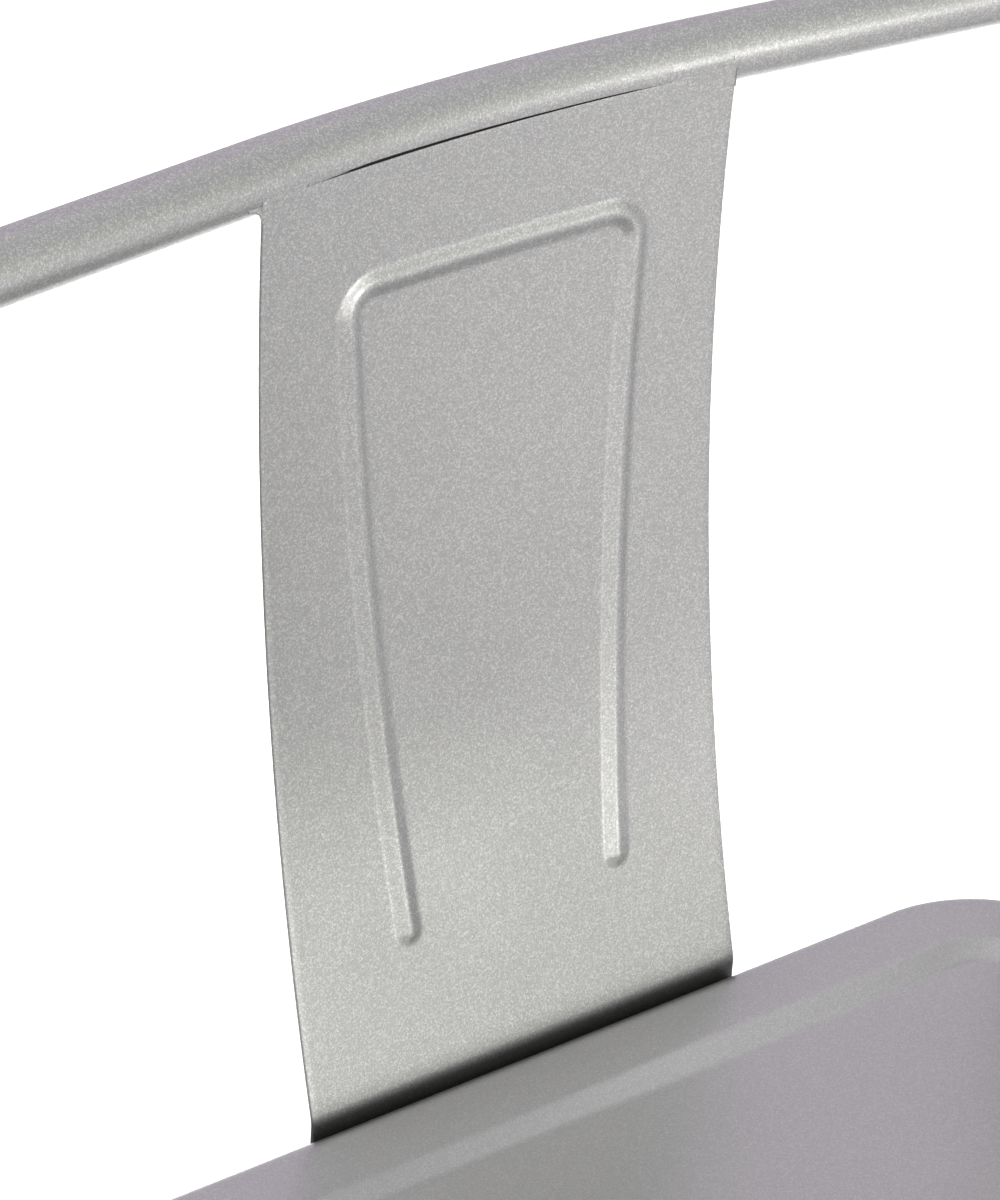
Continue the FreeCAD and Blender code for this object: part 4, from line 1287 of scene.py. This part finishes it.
@dataclass
class Legs(SubAssembly):
    """Pressed corner legs: angle sheets with an arched and hemmed edge, and a bead beside the edge."""

    shell: Shell
    inset: float = 1.6 * MM
    sheet: float = 1.5 * MM
    bottom: float = 6 * MM
    top: float = 750 * MM
    foot_width: float = 34 * MM
    knee_width: float = 52 * MM
    knee: float = 565 * MM
    arch_radius: float = 260 * MM
    hem: float = 6 * MM
    hem_ease: float = 0.4
    bead_inset: float = 14 * MM
    bead_width: float = 9 * MM
    bead_height: float = 1.4 * MM
    bead_bottom: float = 90 * MM
    bead_top: float = 625 * MM
    bead_flank: float = 0.4
    bead_ease: float = 0.45
    hairline: float = 0.05 * MM
    hem_reach: float = 9 * MM
    bead_reach: float = 19.5 * MM
    roll_steps: int = 6
    column_steps: tuple[int, int, int] = (9, 16, 18)
    row_steps: tuple[int, ...] = (10, 18, 60, 18, 26)

    def rows(self) -> Array:
        """Heights of the rows, close together at the ends of the bead.

        Returns:
            The heights, from the bottom up.
        """
        near = self.bead_width
        stops = [self.bottom, self.bead_bottom - near, self.bead_bottom + near, self.bead_top - near,
                 self.bead_top + near, self.top]
        return stepped(stops, self.row_steps)

    def edge(self, along: Callable[[Array], Array], z: Array) -> tuple[Array, Array]:
        """Free edge of a wall: a straight line up to the knee, then an arc tangent to it.

        Args:
            along: Half the shell's size along the wall, by height.
            z: Height of each row.

        Returns:
            Distance of the edge from the middle of the wall, and the cosine of its slope.
        """
        foot = along(np.array(0.0)) - self.inset - self.foot_width
        knee = along(np.array(self.knee)) - self.inset - self.knee_width
        lean = (knee - foot) / self.knee
        out = self.arch_radius / math.hypot(1, lean)
        centre_u, centre_z = knee - out, self.knee + lean * out
        sine = np.clip((z - centre_z) / self.arch_radius, -1, 1)
        arch = centre_u + self.arch_radius * np.sqrt(1 - sine ** 2)
        straight = z < self.knee
        cosine = np.where(straight, 1 / math.hypot(1, lean), np.sqrt(1 - sine ** 2))
        return np.where(straight, knee + lean * (z - self.knee), arch), cosine

    def wall(self, along: Callable[[Array], Array], across: Callable[[Array], Array],
             inside: bool) -> tuple[Array, Array]:
        """Half of one face of a leg, from a free edge to the middle of the rounded corner. The edge rolls
        over by a half circle, a hem doubles the sheet behind it, and the bead is an eased swelling.

        Args:
            along: Half the shell's size along the wall, by height.
            across: Half the shell's size square to the wall, by height.
            inside: Make the inner face.

        Returns:
            Distances along and across the wall, shaped (rows, columns).
        """
        z = self.rows()
        edge, cosine = self.edge(along, z)
        radius = self.shell.radius(z)
        flat = along(z) - radius - edge
        end = flat + radius * math.pi / 4
        roll = self.sheet * (1 - np.cos(spread((0, math.pi / 2, self.roll_steps))))
        beside = stepped((self.sheet, self.hem_reach, self.bead_reach), self.column_steps[:2])[1:]
        near = np.concatenate([roll, beside])
        share = spread((0, 1, self.column_steps[2]))[1:]
        run = np.concatenate([np.broadcast_to(near, (len(z), len(near))),
                              near[-1] + (end - near[-1])[:, None] * share], axis=1)
        half = self.bead_width / 2
        past_end = np.maximum(np.maximum(self.bead_bottom + half - z, z - self.bead_top + half), 0)
        off = np.hypot(run * cosine[:, None] - self.bead_inset, past_end[:, None])
        flank = self.bead_flank * self.bead_width
        lift = self.bead_height * eased_ramp((half - off) / flank, self.bead_ease)
        rolled = np.clip(1 - run / self.sheet, 0, 1)
        rolled = (1 - np.sqrt(1 - rolled ** 2)) * (self.sheet - self.hairline)
        folded = 1 - eased_ramp((run - self.hem + self.sheet / 2) / self.sheet, self.hem_ease)
        inset = self.inset + (self.sheet * (1 + folded) - rolled if inside else rolled)
        turn = np.clip(run - flat[:, None], 0, None) / radius[:, None]
        arm = radius[:, None] - inset + lift
        return (edge[:, None] + np.minimum(run, flat[:, None]) + arm * np.sin(turn),
                (across(z) - radius)[:, None] + arm * np.cos(turn))

    def face(self, inside: bool) -> Array:
        """One face of the leg in the corner where x and y are both positive.

        Args:
            inside: Make the inner face.

        Returns:
            Points shaped (rows, columns, 3), from one free edge round to the other.
        """
        shell = self.shell
        x_first, y_first = self.wall(shell.half_x, shell.half_y, inside)
        y_last, x_last = self.wall(shell.half_y, shell.half_x, inside)
        x = np.concatenate([x_first, x_last[:, -2::-1]], axis=1)
        y = np.concatenate([y_first, y_last[:, -2::-1]], axis=1)
        return np.stack([x, y, np.broadcast_to(self.rows()[:, None], x.shape)], axis=-1)

    def build(self, end: End, side: Side) -> bpy.types.Object:
        """One leg: outer face and inner face as closed loops, mirrored into its corner.

        Args:
            end: Front or rear.
            side: Left or right.

        Returns:
            The leg.
        """
        loops = np.concatenate([self.face(False), self.face(True)[:, ::-1]], axis=1)
        loops = loops * np.array([side.value, end.value, 1.0])
        corner = f"{end.name}_{side.name}".lower()
        return make_piece(f"{corner}_post", loops, closed_bar(loops), [f"{corner}_leg"])


@dataclass
class Feet(SubAssembly):
    """Rubber feet: blocks that follow the leg's taper, with a rounded tread, two grooves and a soft lip."""

    shell: Shell
    span: float = 39.6 * MM
    stand_off: float = 0.4 * MM
    height: float = 30 * MM
    corner: float = 5 * MM
    tread_round: float = 1.5 * MM
    lip_round: float = 1.2 * MM
    flat_ring: float = 0.5 * MM
    groove_depth: float = 0.5 * MM
    groove_width: float = 1.6 * MM
    groove_heights: tuple[float, float] = (9 * MM, 13 * MM)
    groove_shares: tuple[float, ...] = (-0.5, -0.3, 0.3, 0.5)
    round_steps: int = 5
    arc_steps: int = 8
    line_steps: int = 6

    def profile(self) -> tuple[Array, Array]:
        """Rings up the foot: a quarter circle, two grooves and another quarter circle, with a ring on each
        flat end that keeps the rounding narrow.

        Returns:
            Height and inset of each ring.
        """
        turn = spread((0, math.pi / 2, self.round_steps))
        tread_z = self.tread_round * (1 - np.cos(turn))
        tread_in = self.tread_round * (1 - np.sin(turn))
        groove_z = np.add.outer(self.groove_heights, self.groove_width * np.array(self.groove_shares)).ravel()
        groove_in = np.tile([0, self.groove_depth, self.groove_depth, 0], len(self.groove_heights))
        lip_z = self.height - self.lip_round * (1 - np.sin(turn))
        lip_in = self.lip_round * (1 - np.cos(turn))
        ends = [tread_in[0] + self.flat_ring], [lip_in[-1] + self.flat_ring]
        z = np.concatenate([[0.0], tread_z, groove_z, lip_z, [self.height]])
        return z, np.concatenate([ends[0], tread_in, groove_in, lip_in, ends[1]])

    def build(self, end: End, side: Side) -> bpy.types.Object:
        """One foot: rounded rings whose outer corner follows the shell's corner, mirrored into its corner.

        Args:
            end: Front or rear.
            side: Left or right.

        Returns:
            The foot.
        """
        shell = self.shell
        z, inset = self.profile()
        low = np.array([shell.half_x(0.0), shell.half_y(0.0)]) - self.span
        high = np.stack([shell.half_x(z), shell.half_y(z)]) + self.stand_off
        plain = np.full(z.shape, self.corner)
        radii = [shell.radius(z) + self.stand_off, plain, plain, plain]
        points = rounded_rings((low[0] + inset, high[0] - inset), (low[1] + inset, high[1] - inset),
                               [radius - inset for radius in radii], z, self.arc_steps, self.line_steps)
        points = points * np.array([side.value, end.value, 1.0])
        corner = f"{end.name}_{side.name}".lower()
        return make_piece(f"{corner}_boot", points, closed_bar(points), [f"{corner}_foot"])


@dataclass
class Stretchers(SubAssembly):
    """Channel bars welded between the legs, with their open side inwards."""

    shell: Shell
    height: float = 235 * MM
    face: float = 26 * MM
    depth: float = 12 * MM
    sheet: float = 1.5 * MM
    bend: float = 4 * MM
    end_inset: float = 26 * MM
    behind_shell: float = 4.7 * MM
    lip_round: float = 0.4 * MM
    face_share: float = 0.8
    face_points: int = 5
    bend_steps: int = 8
    along_steps: int = 8

    def section(self) -> Array:
        """Cross section as a loop of depths and heights: round the outside of the channel, and back inside.

        Returns:
            Points shaped (columns, 2).
        """
        turn = spread((0, math.pi / 2, self.bend_steps))
        half, lip = self.face / 2, self.lip_round
        rise = np.linspace(self.face_share, -self.face_share, self.face_points) * (half - self.bend)
        faces = []
        for sunk in (0.0, self.sheet):
            bend = self.bend - sunk
            curl_in, curl_up = self.bend - bend * np.sin(turn), half - self.bend + bend * np.cos(turn)
            curl = np.stack([curl_in, curl_up], axis=-1)
            into = lip if sunk == 0.0 else -lip
            end = np.array([[self.depth, half - sunk - into], [self.depth - lip, half - sunk]])
            middle = np.stack([np.full(rise.shape, sunk), rise], axis=-1)
            upper = np.concatenate([end, curl])
            faces.append(np.concatenate([upper, middle, upper[::-1] * np.array([1.0, -1.0])]))
        return np.concatenate([faces[0], faces[1][::-1]])

    def bar(self, wall: Wall) -> Array:
        """The section carried along a wall of the shell, leaning as the wall does.

        Args:
            wall: Which wall.

        Returns:
            Loops shaped (rows, columns, 3).
        """
        shell = self.shell
        ends = wall in (Wall.FRONT, Wall.REAR)
        along, across = (shell.half_x, shell.half_y) if ends else (shell.half_y, shell.half_x)
        slope = (shell.spread_y if ends else shell.spread_x) / shell.height
        inwards = -np.array([*wall.value, 0.0])
        sideways = np.array([abs(wall.value[1]), abs(wall.value[0]), 0.0])
        into = (inwards - UPRIGHT * slope) / math.hypot(1, slope)
        up = (UPRIGHT + inwards * slope) / math.hypot(1, slope)
        depth, rise = self.section().T
        flat = depth[:, None] * into + rise[:, None] * up
        flat = flat - inwards * (across(self.height) - self.behind_shell) + UPRIGHT * self.height
        reach = along(self.height) - self.end_inset
        return flat[None] + spread((-reach, reach, self.along_steps))[:, None, None] * sideways

    def build(self, wall: Wall) -> bpy.types.Object:
        """One bar: the footrest at the front, stretchers on the other sides.

        Args:
            wall: Which wall.

        Returns:
            The bar.
        """
        loops = self.bar(wall)
        name = wall.name.lower()
        node = "front_footrest" if wall is Wall.FRONT else f"{name}_stretcher"
        return make_piece(f"{name}_bar", loops, closed_bar(loops), [node])


# Light, floor and camera


@dataclass(frozen=True)
class Softbox:
    """A rectangular soft lamp: where it stands, what it points at, its size, power, beam and tint."""

    name: str
    place: tuple[float, float, float]
    aim: tuple[float, float, float]
    size: tuple[float, float]
    watts: float
    beam: float = math.pi
    tint: Colour = (1.0, 1.0, 0.95)

    def build(self) -> None:
        """Put the lamp into the scene, turned to its aim."""
        data = bpy.data.lights.new(self.name, "AREA")
        data.shape = "RECTANGLE"
        data.size, data.size_y = self.size
        data.energy = self.watts
        data.color = self.tint
        data.spread = self.beam
        lamp = bpy.data.objects.new(self.name, data)
        lamp.location = self.place
        lamp.rotation_mode = "QUATERNION"
        lamp.rotation_quaternion = (Vector(self.aim) - Vector(self.place)).to_track_quat("-Z", "Y")
        bpy.context.scene.collection.objects.link(lamp)


@dataclass(frozen=True)
class Studio:
    """Pale floor, pale sky and soft lamps, with a camera that repeats the photograph's view."""

    azimuth: float = math.radians(-36.353)
    elevation: float = math.radians(29.278)
    roll: float = math.radians(1.0)
    focal_px: float = 5179.23
    frame_height_px: float = 1200.0
    distance: float = 1616.77 * MM
    target: tuple[float, float, float] = (-18.13 * MM, 185.9 * MM, 937.64 * MM)
    sensor: float = 36.0
    clip: tuple[float, float] = (0.05, 200.0)
    floor_size: float = 60.0
    floor_colour: Colour = (0.82, 0.82, 0.82)
    floor_roughness: float = 0.9
    floor_glow: float = 0.1
    sky_by_depth: tuple[Stop, ...] = (
        (0.0, (1.0, 1.0, 0.95)), (0.05, (1.0, 1.0, 0.95)), (0.14, (0.735, 0.74, 0.71)),
        (0.45, (0.65, 0.63, 0.66)), (0.62, (0.74, 0.74, 0.73)), (0.86, (0.665, 0.608, 0.694)))
    sky_by_side: tuple[Stop, ...] = ((0.84, (1.0, 1.0, 1.0)), (0.96, (0.3, 0.3, 0.3)))
    lamps: tuple[Softbox, ...] = (
        Softbox("front_softbox", (0.75, -2.55, 0.72), (0.75, 0.2, 0.8), (1.0, 0.8), 8.2),
        Softbox("left_softbox", (-1.15, -2.45, 0.85), (-1.15, 0.2, 0.9), (2.0, 1.2), 8.5),
        Softbox("floor_lamp", (1.0, 1.6, 2.0), (1.0, 1.6, 0.0), (1.0, 1.0), 16, math.radians(80)))

    def camera(self) -> None:
        """Camera on a line from the target at the photograph's azimuth, elevation and roll."""
        a, e = self.azimuth, self.elevation
        back = Vector((math.sin(a) * math.cos(e), -math.cos(a) * math.cos(e), math.sin(e)))
        right = Vector((math.cos(a), math.sin(a), 0))
        up = back.cross(right)
        tilted_right = right * math.cos(self.roll) + up * math.sin(self.roll)
        tilted_up = up * math.cos(self.roll) - right * math.sin(self.roll)
        data = bpy.data.cameras.new("camera")
        data.sensor_width = self.sensor
        data.lens = self.focal_px / self.frame_height_px * self.sensor
        data.clip_start, data.clip_end = self.clip
        camera = bpy.data.objects.new("camera", data)
        turn = Matrix((tilted_right, tilted_up, back)).transposed().to_4x4()
        camera.matrix_world = Matrix.Translation(Vector(self.target) + back * self.distance) @ turn
        bpy.context.scene.collection.objects.link(camera)
        bpy.context.scene.camera = camera

    def combined(self, tree: bpy.types.NodeTree, operation: str, first: bpy.types.NodeSocket,
                 second: Union[bpy.types.NodeSocket, float]) -> bpy.types.NodeSocket:
        """Two values made one by a Math node.

        Args:
            tree: The node tree.
            operation: Blender's name of the operation.
            first: The first value.
            second: The second value, or a number.

        Returns:
            The result.
        """
        node = tree.nodes.new("ShaderNodeMath")
        node.operation = operation
        tree.links.new(first, node.inputs[0])
        if isinstance(second, float):
            node.inputs[1].default_value = second
        else:
            tree.links.new(second, node.inputs[1])
        return node.outputs[0]

    def floor(self) -> None:
        """Large pale floor: diffuse, with a little of its own light for seen and mirrored rays."""
        half = self.floor_size / 2
        corners = np.array([[-half, -half, 0], [half, -half, 0], [half, half, 0], [-half, half, 0]])
        mesh = bpy.data.meshes.new("floor")
        mesh.from_pydata(corners.tolist(), [], [(0, 1, 2, 3)])
        floor = bpy.data.objects.new("floor", mesh)
        bpy.context.scene.collection.objects.link(floor)
        material = bpy.data.materials.new("studio_floor")
        material.use_nodes = True
        tree = material.node_tree
        shader = tree.nodes["Principled BSDF"]
        shader.inputs["Base Color"].default_value = (*self.floor_colour, 1)
        shader.inputs["Roughness"].default_value = self.floor_roughness
        shader.inputs["Specular IOR Level"].default_value = 0.0
        shader.inputs["Emission Color"].default_value = (1, 1, 1, 1)
        rays = tree.nodes.new("ShaderNodeLightPath").outputs
        mirrored = self.combined(tree, "MAXIMUM", rays["Is Glossy Ray"], rays["Is Transmission Ray"])
        seen = self.combined(tree, "MAXIMUM", rays["Is Camera Ray"], mirrored)
        glow = self.combined(tree, "MULTIPLY", seen, self.floor_glow)
        tree.links.new(glow, shader.inputs["Emission Strength"])
        mesh.materials.append(material)

    def sky(self) -> None:
        """World light by direction: white in front, purple-grey behind, and dimmer to the right."""
        world = bpy.data.worlds.new("studio_sky")
        bpy.context.scene.world = world
        world.use_nodes = True
        tree = world.node_tree
        place = tree.nodes.new("ShaderNodeTexCoord")
        split = tree.nodes.new("ShaderNodeSeparateXYZ")
        tree.links.new(place.outputs["Generated"], split.inputs[0])
        both = tree.nodes.new("ShaderNodeMix")
        both.data_type, both.blend_type = "RGBA", "MULTIPLY"
        both.inputs["Factor"].default_value = 1.0
        for axis, stops, target in (("Y", self.sky_by_depth, "A"), ("X", self.sky_by_side, "B")):
            share = tree.nodes.new("ShaderNodeMapRange")
            share.inputs["From Min"].default_value = -1.0
            ramp = tree.nodes.new("ShaderNodeValToRGB")
            set_stops(ramp.color_ramp, stops)
            tree.links.new(split.outputs[axis], share.inputs["Value"])
            tree.links.new(share.outputs["Result"], ramp.inputs["Fac"])
            tree.links.new(ramp.outputs["Color"], both.inputs[target])
        tree.links.new(both.outputs["Result"], tree.nodes["Background"].inputs["Color"])

    def build(self) -> None:
        """Everything round the stool, and the view settings."""
        bpy.context.scene.view_settings.view_transform = "Standard"
        self.camera()
        self.floor()
        self.sky()
        for lamp in self.lamps:
            lamp.build()


def main() -> None:
    """Build every piece in order, dress it and light it."""
    logging.basicConfig(level=logging.INFO, format="%(name)s: %(message)s")
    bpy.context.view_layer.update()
    finishes = {Slot.PAINT: PowderCoat().material(), Slot.RUBBER: MouldedRubber().material(),
                Slot.ZINC: ZincPlate().material(), Slot.PLUG: PlugPlastic().material()}
    paint, rubber = finishes[Slot.PAINT], finishes[Slot.RUBBER]
    shell = Shell()
    seat, rail = SeatPan(shell), BackRail(shell)
    splat = BackSplat(shell, rail)
    welds, legs, feet, bars = SplatWelds(splat), Legs(shell), Feet(shell), Stretchers(shell)
    corners = [(end, side) for end in End for side in Side]
    seat.dress(seat.build(), SEAT_COAT.material())
    rail.dress(rail.build(), paint)
    splat.dress(splat.build(), paint)
    for side in Side:
        welds.dress(welds.build(side), paint)
    for end, side in corners:
        legs.dress(legs.build(end, side), paint)
    for end, side in corners:
        feet.dress(feet.build(end, side), rubber)
    for wall in Wall:
        bars.dress(bars.build(wall), paint)
    for part in frame["record"]["subparts"]:
        node = frame["nodes"][part["node"]]
        node.data.materials.clear()
        node.data.materials.append(finishes[Slot(part["material_slot"])])
    Studio().build()


if __name__ == "__main__":
    main()
